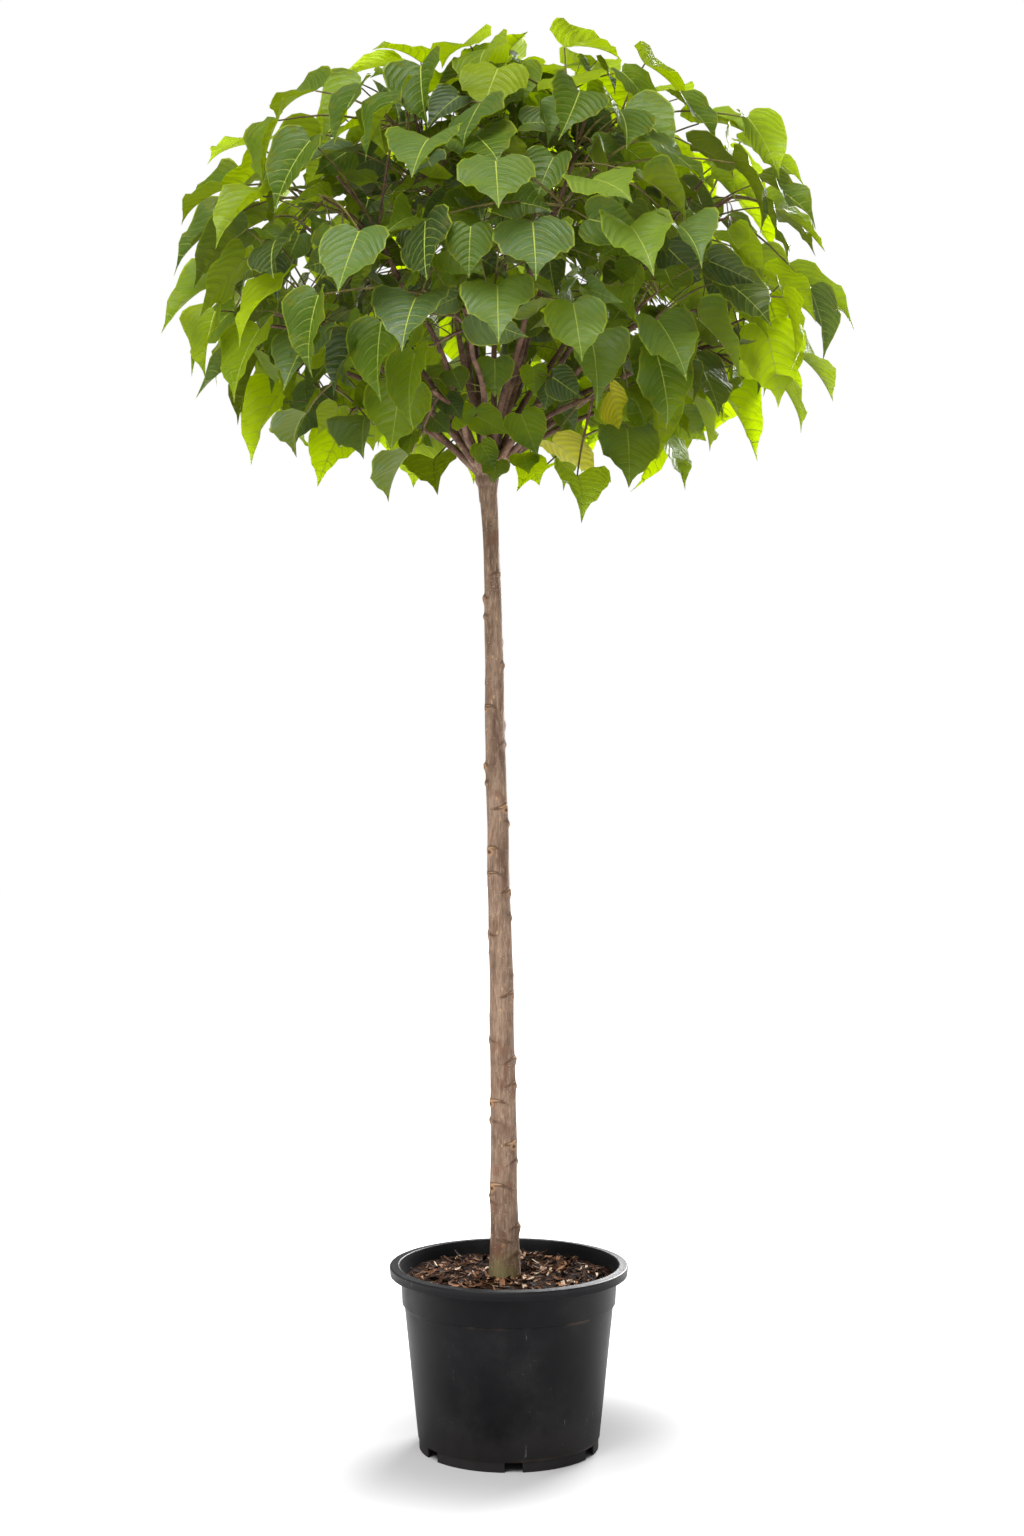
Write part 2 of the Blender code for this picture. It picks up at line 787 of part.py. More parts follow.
def make_pot(parts, cutters):
    """The moulded pot, with notches cut through its foot ring."""
    floor = FOOT_HEIGHT + FLOOR_THICKNESS
    pot = turned("pot", [(0.0, floor)] + inner_profile(0.0) + outer_profile(), parts)
    for i in range(NOTCHES):
        angle = math.radians(-90) + NOTCH_TURN + math.tau * i / NOTCHES
        bpy.ops.mesh.primitive_cube_add(size=1.0)
        notch = named_primitive(f"notch {i + 1}", cutters)
        notch.scale = (NOTCH_DEPTH, NOTCH_WIDTH, NOTCH_HEIGHT * 2)
        notch.location = (FOOT_RADIUS * math.cos(angle), FOOT_RADIUS * math.sin(angle), 0.0)
        notch.rotation_euler.z = angle
        cut(pot, notch)
    pot.data.materials.append(new_material("black nursery plastic", (0.030, 0.030, 0.031), 0.5))
    round_shading(pot, math.radians(30))


# The soil


def soil_relief(x, y):
    """The uneven top of the soil, raised by a formula."""
    return SOIL_RELIEF * (math.sin(61 * x + 3.1) * math.cos(73 * y) + 0.6 * math.sin(131 * x - 97 * y + 1.0))


def make_chips(chance, pieces):
    """Bark chips that lie half sunk in the soil's top."""
    length, width, thickness = CHIP_SIZE
    nearest, furthest = CHIP_RING
    for i in range(CHIPS):
        radius = nearest + (furthest - nearest) * math.sqrt((i + 0.5) / CHIPS)
        angle = i * GOLDEN_ANGLE + chance.uniform(-0.3, 0.3)
        x = radius * math.cos(angle)
        y = radius * math.sin(angle)
        bpy.ops.mesh.primitive_cube_add(size=1.0)
        chip = named_primitive(f"chip {i + 1}", pieces)
        chip.scale = (length * chance.uniform(0.6, 1.2), width * chance.uniform(0.7, 1.3), thickness)
        chip.location = (x, y, SOIL_HEIGHT + soil_relief(x, y) + thickness / 5)
        tilt = (chance.uniform(-0.25, 0.25), chance.uniform(-0.3, 0.3))
        chip.rotation_euler = (*tilt, chance.uniform(0, math.tau))


def make_soil(parts, cutters):
    """The root ball, which fills the pot, with a plain hole that the trunk stands in."""
    *wall, mouth = inner_profile(GAP)
    shoulder = SOIL_HEIGHT - 0.003
    share = (shoulder - wall[-1][1]) / (mouth[1] - wall[-1][1])
    edge = wall[-1][0] + (mouth[0] - wall[-1][0]) * share
    top = [(radius, SOIL_HEIGHT) for radius in SOIL_RINGS]
    top += [(edge - 0.010, SOIL_HEIGHT - 0.0005), (edge, shoulder)]
    profile = top + wall[::-1] + [(0.0, wall[0][1])]
    ball = as_mesh(turned("soil blank", profile, parts), "soil blank", parts)
    for vertex in ball.data.vertices:
        if vertex.co.z > SOIL_HEIGHT - 0.001:
            vertex.co.z += soil_relief(vertex.co.x, vertex.co.y)
    pieces = new_collection("chips")
    make_chips(random.Random(SEED), pieces)
    soil = fused(ball, pieces, "soil", parts)
    foot_height, foot_offset, foot_radius = TRUNK[0]
    radius = (foot_radius + HOLE_PLAY) / math.cos(math.pi / HOLE_SIDES)
    height = POT_HEIGHT - foot_height + GAP
    bpy.ops.mesh.primitive_cylinder_add(vertices=HOLE_SIDES, radius=radius, depth=height)
    hole = named_primitive("trunk hole", cutters)
    hole.location = (foot_offset, 0.0, foot_height - GAP + height / 2)
    cut(soil, hole)
    soil.data.materials.append(new_material("bark-rich soil", (0.060, 0.035, 0.022), 0.9))


# The trunk with its limbs


def trunk_at(height):
    """The trunk's sideways offset and radius at a height."""
    heights, offsets, radii = zip(*TRUNK)
    return float(np.interp(height, heights, offsets)), float(np.interp(height, heights, radii))


def make_scars(pieces):
    """Raised scars where old leaves sat, left and right in turn up the stem."""
    for i in range(SCARS):
        height = SCAR_FOOT + SCAR_STEP * i
        offset, radius = trunk_at(height)
        azimuth = math.pi * i + 0.75 * math.sin(2.3 * i)
        bpy.ops.mesh.primitive_ico_sphere_add(subdivisions=1, radius=1.0)
        scar = named_primitive(f"scar {i + 1}", pieces)
        width, depth, length = SCAR_SIZE
        scar.scale = (depth, width, length)
        scar.rotation_euler.z = azimuth
        away = radius * SCAR_SEAT
        scar.location = (offset + away * math.cos(azimuth), away * math.sin(azimuth), height)


def make_trunk(branches, parts):
    """The stem, the graft head and the bare limbs, grown together as one body."""
    path = [Vector((x, 0.0, z)) for z, x, _ in TRUNK]
    stem = tube("trunk stem", path, [r for _, _, r in TRUNK], TRUNK_SIDES, parts)
    pieces = new_collection("limbs and scars")
    make_scars(pieces)
    bpy.ops.mesh.primitive_uv_sphere_add(segments=12, ring_count=7, radius=HEAD_RADIUS, location=HEAD)
    named_primitive("graft head", pieces)
    for branch in branches:
        radii = np.linspace(LIMB_FOOT_RADIUS, LIMB_END_RADIUS, len(branch.limb))
        tube("limb " + branch.name, branch.limb, radii, LIMB_SIDES, pieces)
    trunk = fused(stem, pieces, "trunk", parts)
    trunk.data.materials.append(new_material("grey-brown bark", (0.352, 0.235, 0.162), 0.75))
    round_shading(trunk, math.radians(50))


# The leafy branches


def make_leaf(leaf, name, collection):
    """A blade with its petiole: an open sheet with a thickness that grows towards the petiole's root."""
    points, triangles = leaf_sheet(leaf)
    mesh = bpy.data.meshes.new(name)
    mesh.from_pydata(points, [], triangles)
    made = new_object(name, mesh, collection)
    stalk = made.vertex_groups.new(name="petiole")
    stalk.add([0, 1], 1.0, "REPLACE")
    stalk.add([4, 4 + len(HALF_OUTLINE)], 0.4, "REPLACE")
    solid = made.modifiers.new("thickness", "SOLIDIFY")
    solid.thickness = PETIOLE
    solid.offset = 0.0
    solid.vertex_group = stalk.name
    solid.thickness_vertex_group = BLADE / PETIOLE
    return made


def make_branch(branch, parts):
    """One stem with its twigs and leaves, joined into one body."""
    radii = np.linspace(LIMB_END_RADIUS, STEM_END_RADIUS, len(branch.stem))
    stem = tube("stem", branch.stem, radii, STEM_SIDES, parts)
    pieces = new_collection("repeats")
    for i, path in enumerate(branch.twigs):
        tube(f"twig {i + 1}", path, [TWIG_RADIUS] * len(path), STEM_SIDES, pieces)
    for i, leaf in enumerate(branch.leaves):
        make_leaf(leaf, f"leaf {i + 1}", pieces)
    made = fused(stem, pieces, branch.name, parts, "MANIFOLD")
    made.data.materials.append(new_material("leaves of " + branch.name, (0.157, 0.216, 0.018), 0.5))


def main():
    clear_scene()
    parts = new_collection("potted catalpa tree")
    cutters = new_collection("cutters")
    branches = lay_out()
    make_pot(parts, cutters)
    make_soil(parts, cutters)
    make_trunk(branches, parts)
    for branch in branches:
        make_branch(branch, parts)


main()
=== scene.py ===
# %% [markdown]
# # A potted catalpa, dressed for its picture
# The packed model gives every piece its place and size: a black nursery pot, the soil in it, a bare stem
# with its limbs, and twenty-four leafy branches. This lesson puts a finer surface over each of them.
# The plan is to work out once more where every leaf grows, to add the leaves that a real crown has between
# them, and to let Geometry Nodes unfold a blade at each of those places.

# %% Load the fixed model
import math
import random
from collections import namedtuple

import bpy
import numpy as np
from mathutils import Matrix, Vector, noise
from mathutils.bvhtree import BVHTree


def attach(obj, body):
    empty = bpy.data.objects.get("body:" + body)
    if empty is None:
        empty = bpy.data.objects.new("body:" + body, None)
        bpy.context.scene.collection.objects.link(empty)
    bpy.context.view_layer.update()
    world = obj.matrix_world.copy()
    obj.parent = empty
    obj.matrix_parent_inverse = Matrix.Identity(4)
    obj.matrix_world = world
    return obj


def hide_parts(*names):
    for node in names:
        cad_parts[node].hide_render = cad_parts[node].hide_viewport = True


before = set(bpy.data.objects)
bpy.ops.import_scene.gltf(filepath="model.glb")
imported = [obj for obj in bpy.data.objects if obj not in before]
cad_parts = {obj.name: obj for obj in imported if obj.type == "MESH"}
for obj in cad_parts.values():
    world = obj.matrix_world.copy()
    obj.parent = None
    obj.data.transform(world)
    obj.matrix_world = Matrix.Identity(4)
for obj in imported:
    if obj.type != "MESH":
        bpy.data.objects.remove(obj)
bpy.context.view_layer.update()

# %% [markdown]
# ## Node trees as expressions
# Both materials and Geometry Nodes are webs of small nodes. Typed out link by link they are hard to read, so
# a value in a tree is wrapped in a small class whose operators add the Math nodes. One method makes every
# other kind of node from its settings and its sockets.

# %% Wires


class Wire:
    """A value inside a node tree. Python's operators on it add Math nodes."""

    def __init__(self, net, socket):
        self.net = net
        self.socket = socket

    def math(self, operation, *inputs):
        return self.net.add("ShaderNodeMath", {"operation": operation}, dict(enumerate(inputs)))

    def __add__(self, other):
        return self.math("ADD", self, other)

    def __radd__(self, other):
        return self.math("ADD", other, self)

    def __sub__(self, other):
        return self.math("SUBTRACT", self, other)

    def __rsub__(self, other):
        return self.math("SUBTRACT", other, self)

    def __mul__(self, other):
        return self.math("MULTIPLY", self, other)

    def __rmul__(self, other):
        return self.math("MULTIPLY", other, self)

    def __truediv__(self, other):
        return self.math("DIVIDE", self, other)

    def __pow__(self, other):
        return self.math("POWER", self, other)

    def __abs__(self):
        return self.math("ABSOLUTE", self)

    def __gt__(self, other):
        return self.math("GREATER_THAN", self, other)

    def sin(self):
        return self.math("SINE", self)

    def cos(self):
        return self.math("COSINE", self)

    def fraction(self):
        return self.math("FRACT", self)

    def at_least(self, other):
        return self.math("MAXIMUM", self, other)

    def step(self, low, high):
        """0 up to low and 1 from high on, with a soft ramp between. With low above high it falls."""
        sockets = {"Value": self, "From Min": low, "From Max": high}
        return self.net.add("ShaderNodeMapRange", {"interpolation_type": "SMOOTHSTEP"}, sockets)


print("besides the signs, a wire has", [name for name in vars(Wire) if not name.startswith("_")])

# %% Nets


class Net:
    """A node tree that grows one node at a time."""

    def __init__(self, tree):
        self.tree = tree

    def add(self, kind, settings=None, sockets=None, out=0):
        """A new node with its settings made first and its sockets fed next. Gives the wire of one output."""
        node = self.tree.nodes.new(kind)
        for name, value in (settings or {}).items():
            if name == "stops":
                self.set_stops(node.color_ramp, value)
            else:
                setattr(node, name, value)
        for name, value in (sockets or {}).items():
            self.feed(node.inputs[name], value)
        return Wire(self, node.outputs[out])

    def set_stops(self, ramp, stops):
        for i, (position, colour) in enumerate(stops):
            stop = ramp.elements[i] if i < 2 else ramp.elements.new(position)
            stop.position = position
            stop.color = (*colour, 1.0)

    def feed(self, socket, value):
        if isinstance(value, Wire):
            self.tree.links.new(value.socket, socket)
        elif socket.type == "RGBA":
            socket.default_value = (*value, 1.0)
        else:
            socket.default_value = value

    def vector(self, operation, *inputs):
        return self.add("ShaderNodeVectorMath", {"operation": operation}, dict(enumerate(inputs)))

    def scaled(self, vector, factor):
        return self.add("ShaderNodeVectorMath", {"operation": "SCALE"}, {0: vector, "Scale": factor})

    def parts(self, vector):
        """The three numbers of a vector."""
        split = self.add("ShaderNodeSeparateXYZ", sockets={0: vector}).socket.node
        return [Wire(self, socket) for socket in split.outputs]

    def joined(self, x, y, z):
        return self.add("ShaderNodeCombineXYZ", sockets={0: x, 1: y, 2: z})

    def mixed(self, factor, first, second):
        """The first colour where the factor is 0 and the second where it is 1."""
        return self.add("ShaderNodeMix", {"data_type": "RGBA"}, {0: factor, 6: first, 7: second}, out=2)

    def noise(self, place, scale, detail=2.0, rough=0.5):
        sockets = {"Vector": place, "Scale": scale, "Detail": detail, "Roughness": rough}
        return self.add("ShaderNodeTexNoise", sockets=sockets)


print("a net has", [name for name in vars(Net) if not name.startswith("_")])

# %% Colours


def linear(*rgb):
    """A colour named in the 0 to 255 of a screen, as the linear light that a shader wants."""
    return tuple(((c / 255 + 0.055) / 1.055) ** 2.4 if c > 10 else c / 3295 for c in rgb)


print("leaf green in linear light", [round(c, 3) for c in linear(106, 127, 17)])

# %% [markdown]
# ## Where the leaves grow
# The crown is a round head with a flat foot. Limbs fan out of the graft in five tiers, each goes on into a
# leafy stem, and twigs leave the stem for the leaves round it. The same rule that spaced the model's leaves
# is run here with the same seed, so that every fine leaf lies in its solid's place.

# %% Sizes of the limbs and the crown
# Trunk: height, offset to the side and radius. Tiers: limbs, radius, height and turn
# Crown: height and radius
GAP = 0.0003
GOLDEN_ANGLE = math.pi * (3 - math.sqrt(5))
TRUNK = (
    (0.165, -0.0055, 0.0225),
    (0.234, -0.0059, 0.0225),
    (0.289, -0.0061, 0.0200),
    (0.454, -0.0076, 0.0180),
    (0.644, -0.0106, 0.0165),
    (0.859, -0.0159, 0.0147),
    (1.032, -0.0199, 0.0133),
    (1.162, -0.0216, 0.0120),
    (1.240, -0.0242, 0.0110),
    (1.305, -0.0280, 0.0122),
    (1.336, -0.0303, 0.0140),
)
HEAD = Vector((-0.0303, 0.0, 1.338))
LIMB_FOOT_RADIUS = 0.0062
LIMB_END_RADIUS = 0.0045
LIMB_SHARE = 0.55
LIMB_ARCH = 0.055
TIERS = (
    (5, 0.235, 1.435, math.radians(-118)),
    (8, 0.385, 1.520, math.radians(-98)),
    (6, 0.315, 1.715, math.radians(-75)),
    (4, 0.165, 1.820, math.radians(-50)),
    (1, 0.010, 1.850, 0.0),
)
STEM_END_RADIUS = 0.0030
TWIG_RADIUS = 0.0027
TWIGS = 3
BARE_START = 0.028
CROWN = (
    (1.328, 0.220),
    (1.345, 0.280),
    (1.390, 0.360),
    (1.450, 0.450),
    (1.555, 0.480),
    (1.640, 0.464),
    (1.710, 0.420),
    (1.755, 0.345),
    (1.803, 0.265),
    (1.856, 0.190),
    (1.890, 0.110),
    (1.906, 0.030),
)
print("limbs", sum(count for count, *_ in TIERS), "crown from", CROWN[0][0], "to", CROWN[-1][0], "m high")

# %% Sizes of a leaf
SEED = 11
LEAF_LENGTH = 0.102
BLADE = 0.0008
PETIOLE_WIDTH = 0.0024
PETIOLE_LENGTHS = (0.016, 0.190)
PETIOLE_BEND = (0.0, 0.75)
RULE_LEAVES = 176
FIRST_TURN = 0.4
TIP_PLAY = 0.045
SPACING = 0.062
EDGE_DEPTH = 0.045
BLADE_MIDDLE = 0.57
TRIES = 80
CLEARANCE = 0.0012
MIDRIB = 0.42
HALF_OUTLINE = ((0.0, 0.020), (-0.11, 0.22), (0.18, 0.47), (0.64, 0.27))
Form = namedtuple("Form", "fold arch wave twist")
FORMS = (
    Form(fold=0.14, arch=0.10, wave=0.05, twist=0.0),
    Form(fold=0.34, arch=0.28, wave=0.07, twist=0.15),
    Form(fold=0.52, arch=0.30, wave=0.05, twist=-0.10),
    Form(fold=0.38, arch=0.22, wave=0.12, twist=0.50),
)
EDGE_FORMS = (2, 1)
CHORD_LEAN = 1.43
Wish = namedtuple("Wish", "tip along face length form firm")
Leaf = namedtuple("Leaf", "root base along across face length form")
Solid = namedtuple("Solid", "tree middle reach owner")
Fit = namedtuple("Fit", "tries clear lengths bend with_stalk")
OUTER_FIT = Fit(TRIES, CLEARANCE, PETIOLE_LENGTHS, PETIOLE_BEND, True)
print("leaves", 1000 * LEAF_LENGTH, "mm long in", len(FORMS), "forms")

# %% [markdown]
# Some leaves are read off the photograph: the pixel of the blade's middle and the pixel of its tip. A leaf
# in front lies on the crown's near side, and one on the outline lies near the middle of its depth.

# %% The photograph's view
VIEW_DISTANCE = 3.6
FOCAL = 2600.0
EYE_HEIGHT = 1.083
HORIZON_ROW = 663.0
MIDDLE_COLUMN = 508.9
LIMB_WINDOW = (418, 600, 335, 500)
WINDOW_DEPTH = -0.05
print("a pixel at the trunk spans", round(1000 * VIEW_DISTANCE / FOCAL, 2), "mm")

# %% The leaves read off it
FRONT_LEAVES = (
    (497, 172, 499, 206),
    (498, 303, 499, 342),
    (594, 363, 598, 405),
    (643, 238, 655, 273),
    (348, 252, 338, 292),
    (408, 313, 402, 350),
    (297, 353, 284, 391),
    (361, 428, 363, 457),
    (622, 450, 629, 486),
    (674, 452, 685, 491),
    (582, 488, 583, 517),
    (612, 178, 633, 200),
    (535, 238, 537, 275),
    (420, 145, 412, 178),
    (690, 230, 703, 262),
    (680, 340, 690, 378),
)
OUTLINE_LEAVES = (
    (600, 64, 620, 79),
    (667, 88, 690, 110),
    (725, 118, 750, 135),
    (773, 158, 808, 187),
    (797, 228, 825, 253),
    (822, 295, 857, 325),
    (812, 375, 833, 402),
    (788, 400, 803, 432),
    (740, 420, 757, 462),
    (700, 420, 710, 452),
    (395, 68, 370, 76),
    (360, 68, 330, 82),
    (297, 108, 275, 121),
    (232, 142, 207, 161),
    (207, 205, 180, 223),
    (205, 235, 171, 272),
    (195, 295, 160, 333),
    (210, 335, 188, 372),
    (230, 362, 194, 398),
    (265, 420, 250, 465),
    (300, 430, 293, 452),
    (330, 452, 316, 488),
    (398, 475, 388, 502),
    (430, 468, 437, 492),
    (532, 470, 517, 490),
    (592, 460, 600, 483),
)
print("leaves in front", len(FRONT_LEAVES), "and on the outline", len(OUTLINE_LEAVES))

# %% Heights, depths and directions


def crown_radius(height):
    """How far the leaf tips reach from the middle at this height."""
    heights, radii = zip(*CROWN)
    return float(np.interp(height, heights, radii))


def pitch_at(height):
    """How steeply a leaf hangs at this height."""
    heights = (1.30, 1.42, 1.56, 1.72, 1.83, 1.91)
    degrees = (80, 58, 44, 36, 28, 18)
    return math.radians(float(np.interp(height, heights, degrees)))


def seen_at(column, row, depth):
    """The point that the photograph shows at this pixel, at this depth behind the pot's middle."""
    scale = (VIEW_DISTANCE + depth) / FOCAL
    return Vector(((column - MIDDLE_COLUMN) * scale, depth, EYE_HEIGHT + (HORIZON_ROW - row) * scale))


def front_depth(column, row):
    """The depth of the crown's near side at this pixel."""
    depth = -0.3
    for _ in range(4):
        point = seen_at(column, row, depth)
        square = crown_radius(point.z) ** 2 - point.x**2
        depth = -math.sqrt(max(square, 0.0))
    return depth


def square_to(vector, along):
    """The part of a vector that is square to a direction, as a unit vector."""
    return (vector - along * vector.dot(along)).normalized()


print("the crown is", round(2 * crown_radius(1.55), 3), "m wide")
print("leaves there hang at", round(math.degrees(pitch_at(1.55))), "degrees")

# %% Leaves turned to be seen in their places
EDGE_TURN = 2.4
MOST_STRETCH = 1.12
EDGE_RISE = (0.3, Vector((0, -0.55, 1)))
FRONT_RISE = (0.8, Vector((0, -0.35, 1)))
SHOWN_FIRM = 0.2


def shown_leaf(pixels, depth, index, edge):
    """A leaf that the photograph shows, turned so that its middle and its tip are seen in their places."""
    middle = seen_at(pixels[0], pixels[1], depth)
    tip = seen_at(pixels[2], pixels[3], depth)
    flat = tip - middle
    length = LEAF_LENGTH * max(1.0, min(flat.length / (BLADE_MIDDLE * LEAF_LENGTH), MOST_STRETCH))
    towards = math.sqrt(max((BLADE_MIDDLE * length) ** 2 - flat.length**2, 0.0))
    outward = Vector((tip.x, tip.y, 0)).normalized()
    share, rise = EDGE_RISE if edge else FRONT_RISE
    upward = outward * share + rise
    if edge:
        towards = math.copysign(towards, math.cos(EDGE_TURN * index))
        form = EDGE_FORMS[index % len(EDGE_FORMS)]
    else:
        form = index % len(FORMS)
    chord = Vector((flat.x, -towards, flat.z)).normalized()
    lean = math.atan(CHORD_LEAN * FORMS[form].arch)
    along = chord * math.cos(lean) + square_to(upward, chord) * math.sin(lean)
    return Wish(tip, along, square_to(upward, along), length, form, SHOWN_FIRM)


def shown_leaves():
    near = [shown_leaf(p, front_depth(p[2], p[3]), i, False) for i, p in enumerate(FRONT_LEAVES)]
    depths = [EDGE_DEPTH * math.cos(EDGE_TURN * i) for i in range(len(OUTLINE_LEAVES))]
    return near + [shown_leaf(p, depths[i], i, True) for i, p in enumerate(OUTLINE_LEAVES)]


print("leaves read off the photograph", len(shown_leaves()))

# %% [markdown]
# The other leaves follow a rule. A plant turns each new leaf by the golden angle from the one before, which
# spreads them evenly with no rows, and each gets a little play in how it hangs.

# %% Leaves by rule
LENGTHS = (0.84, 1.06)


def base_of(wish):
    """Where the petiole of a wished leaf meets its blade, with the arch of its form taken off."""
    return wish.tip - (wish.along - wish.face * FORMS[wish.form].arch) * wish.length


def crown_slices():
    """Heights up the crown with the share of its surface that lies below each."""
    heights = np.linspace(CROWN[0][0], CROWN[-1][0], 200)
    radii = np.array([crown_radius(h) for h in heights])
    steps = np.hypot(np.diff(heights), np.diff(radii)) * (radii[1:] + radii[:-1])
    shares = np.concatenate(([0.0], np.cumsum(steps)))
    return heights, shares / shares[-1]


def ruled_leaves(count, chance, first_turn=FIRST_TURN, depth=0.0, play=TIP_PLAY):
    """Leaves spread evenly over the crown, this deep under its outline."""
    heights, shares = crown_slices()
    wishes = []
    for i in range(count):
        height = float(np.interp((i + 0.5) / count, shares, heights))
        azimuth = i * GOLDEN_ANGLE + first_turn + chance.uniform(-0.10, 0.10)
        radius = max(crown_radius(height) * (1 - depth) - chance.uniform(0.0, play), 0.02)
        outward = Vector((math.cos(azimuth), math.sin(azimuth), 0))
        tip = outward * radius + Vector((0, 0, height))
        pitch = pitch_at(height) + chance.uniform(-0.30, 0.30)
        yaw = chance.uniform(-0.60, 0.60)
        heading = Matrix.Rotation(yaw, 3, "Z") @ outward
        along = heading * math.cos(pitch) - Vector((0, 0, math.sin(pitch)))
        face = square_to(heading * math.sin(pitch) + Vector((0, 0, math.cos(pitch))), along)
        face = Matrix.Rotation(chance.uniform(-0.60, 0.60), 3, along) @ face
        length = LEAF_LENGTH * chance.uniform(*LENGTHS)
        wishes.append(Wish(tip, along, face, length, chance.randrange(len(FORMS)), 1.0))
    return wishes


print("leaves of the rule", len(ruled_leaves(RULE_LEAVES, random.Random(SEED))))

# %% Leaves kept off the others and off the limbs


def middle_of(wish):
    return wish.tip.lerp(base_of(wish), 0.5)


def hides_limbs(wish):
    """Whether a leaf would hide the bare limbs that the photograph shows over the graft."""
    point = middle_of(wish)
    scale = FOCAL / (VIEW_DISTANCE + point.y)
    column = MIDDLE_COLUMN + point.x * scale
    row = HORIZON_ROW - (point.z - EYE_HEIGHT) * scale
    left, right, top, foot = LIMB_WINDOW
    return point.y < WINDOW_DEPTH and left < column < right and top < row < foot


def thinned(wishes, kept):
    """The wishes that lie clear of those already kept and of the window on the limbs."""
    taken = [middle_of(w) for w in kept]
    free = [w for w in wishes if all((middle_of(w) - t).length > SPACING for t in taken)]
    return [w for w in free if not hides_limbs(w)]


print("of them clear", len(thinned(ruled_leaves(RULE_LEAVES, random.Random(SEED)), shown_leaves())))

# %% [markdown]
# Every limb is a short arch out of the head of the graft. Its stem goes on in the same line, and twigs leave
# the stem towards the leaves round it, so that no petiole has to be longer than a real one.

# %% Limbs and stems


def branch_targets():
    """The point that each leafy branch grows towards, tier by tier."""
    targets = []
    for count, radius, height, turn in TIERS:
        for i in range(count):
            angle = turn + math.tau * i / count
            targets.append(Vector((radius * math.cos(angle), radius * math.sin(angle), height)))
    return targets


def limb_path(target):
    """A limb from inside the graft head, arching up and out to where its leafy stem begins."""
    reach = target - HEAD
    arch = LIMB_ARCH * Vector((reach.x, reach.y, 0)).length / 0.4
    points = [HEAD + reach.normalized() * 0.004]
    for share in (0.33, 0.66, 1.0):
        rise = arch * math.sin(math.pi * share * LIMB_SHARE)
        points.append(HEAD + reach * (share * LIMB_SHARE) + Vector((0, 0, rise)))
    return points


def stem_path(limb, target):
    """The leafy stem, which goes on from the limb's end in line with it and bends to the target."""
    heading = (limb[-1] - limb[-2]).normalized()
    start = limb[-1] + heading * GAP
    straight = start + heading * 0.025
    return [start, straight, straight.lerp(target, 0.5) + Vector((0, 0, 0.008)), target]


print("limbs", len([limb_path(target) for target in branch_targets()]))

# %% Ways along a path, and twigs
SHORTEST_TWIG = 0.035
TWIG_REACH = 0.66


def point_on(path, way):
    """The point of a path this way along it."""
    for a, b in zip(path, path[1:]):
        step = (b - a).length
        if way <= step:
            return a.lerp(b, way / step)
        way -= step
    return path[-1]


def nearest_way(path, point):
    """How far along a path the point lies that is nearest to a point."""
    best = 0.0
    passed = 0.0
    for a, b in zip(path, path[1:]):
        share = max(0.0, min(1.0, (point - a).dot(b - a) / (b - a).length_squared))
        way = passed + share * (b - a).length
        if (point_on(path, way) - point).length < (point_on(path, best) - point).length:
            best = way
        passed += (b - a).length
    return best


def distance_to(path, point):
    return (point_on(path, nearest_way(path, point)) - point).length


def twig_paths(stem, bases, count):
    """Twigs that leave the stem for the leaves round it, one for each sector that holds some."""
    axis = (stem[-1] - stem[1]).normalized()
    side = square_to(Vector((0.3, 0.2, 1.0)), axis)
    other = axis.cross(side)
    sectors = [[] for _ in range(count)]
    for base in bases:
        offset = base - point_on(stem, nearest_way(stem, base))
        turn = math.atan2(offset.dot(other), offset.dot(side)) % math.tau
        sectors[int(turn / math.tau * count) % count].append(base)
    twigs = []
    for i, members in enumerate(sectors):
        if not members:
            continue
        centre = sum(members, Vector()) / len(members)
        root = stem[1].lerp(stem[2], 0.35 + 0.5 * i / count)
        end = root.lerp(centre, TWIG_REACH)
        if (end - root).length > SHORTEST_TWIG:
            twigs.append([root, end])
    return twigs


first_limb = limb_path(branch_targets()[0])
print("way along the first limb", round(nearest_way(first_limb, first_limb[-1]), 3), "m")

# %% [markdown]
# Real leaves push each other aside and never pass through one another. Each new leaf is tested as a plain
# thickened sheet against what already grows near it, and is turned a little and tried again where they meet.

# %% A leaf as a plain sheet


def leaf_sheet(leaf):
    """The points of a plain leaf with its petiole, and the triangles between them."""
    turned = Matrix((leaf.along, leaf.across, leaf.face)).transposed()
    form = FORMS[leaf.form]

    def placed(u, v):
        lift = abs(v) * (math.sin(form.fold) + form.wave * math.sin(9 * u + (1.4 if v > 0 else 0.2)))
        flat = Matrix.Rotation(form.twist * max(u, 0.0), 3, "X") @ Vector((u, v * math.cos(form.fold), lift))
        flat.z -= form.arch * u * u
        return leaf.base + turned @ flat * leaf.length

    stalk = (leaf.base - leaf.root).normalized()
    edge = stalk.cross(square_to(leaf.face, stalk)) * PETIOLE_WIDTH / 2
    points = [leaf.root - edge, leaf.root + edge, placed(1.0, 0.0), placed(MIDRIB, 0.0)]
    last = len(HALF_OUTLINE) - 1
    left = [len(points) + i for i in range(last + 1)]
    points += [placed(u, v) for u, v in HALF_OUTLINE]
    right = [len(points) + i for i in range(last + 1)]
    points += [placed(u, -v) for u, v in HALF_OUTLINE]
    near, far = (left, right) if edge.dot(leaf.across) < 0 else (right, left)
    triangles = [(0, 1, far[0]), (0, far[0], near[0]), (3, near[0], far[0])]
    for i in range(last):
        triangles += [(3, near[i + 1], near[i]), (3, far[i], far[i + 1])]
    triangles += [(3, 2, near[last]), (3, far[last], 2)]
    return points, triangles


sample = Leaf(Vector((-0.05, 0, 0)), Vector(), *Matrix.Identity(3), 0.1, 0)
print("a plain leaf has", len(leaf_sheet(sample)[1]), "triangles")

# %% Search trees of sheets and tubes


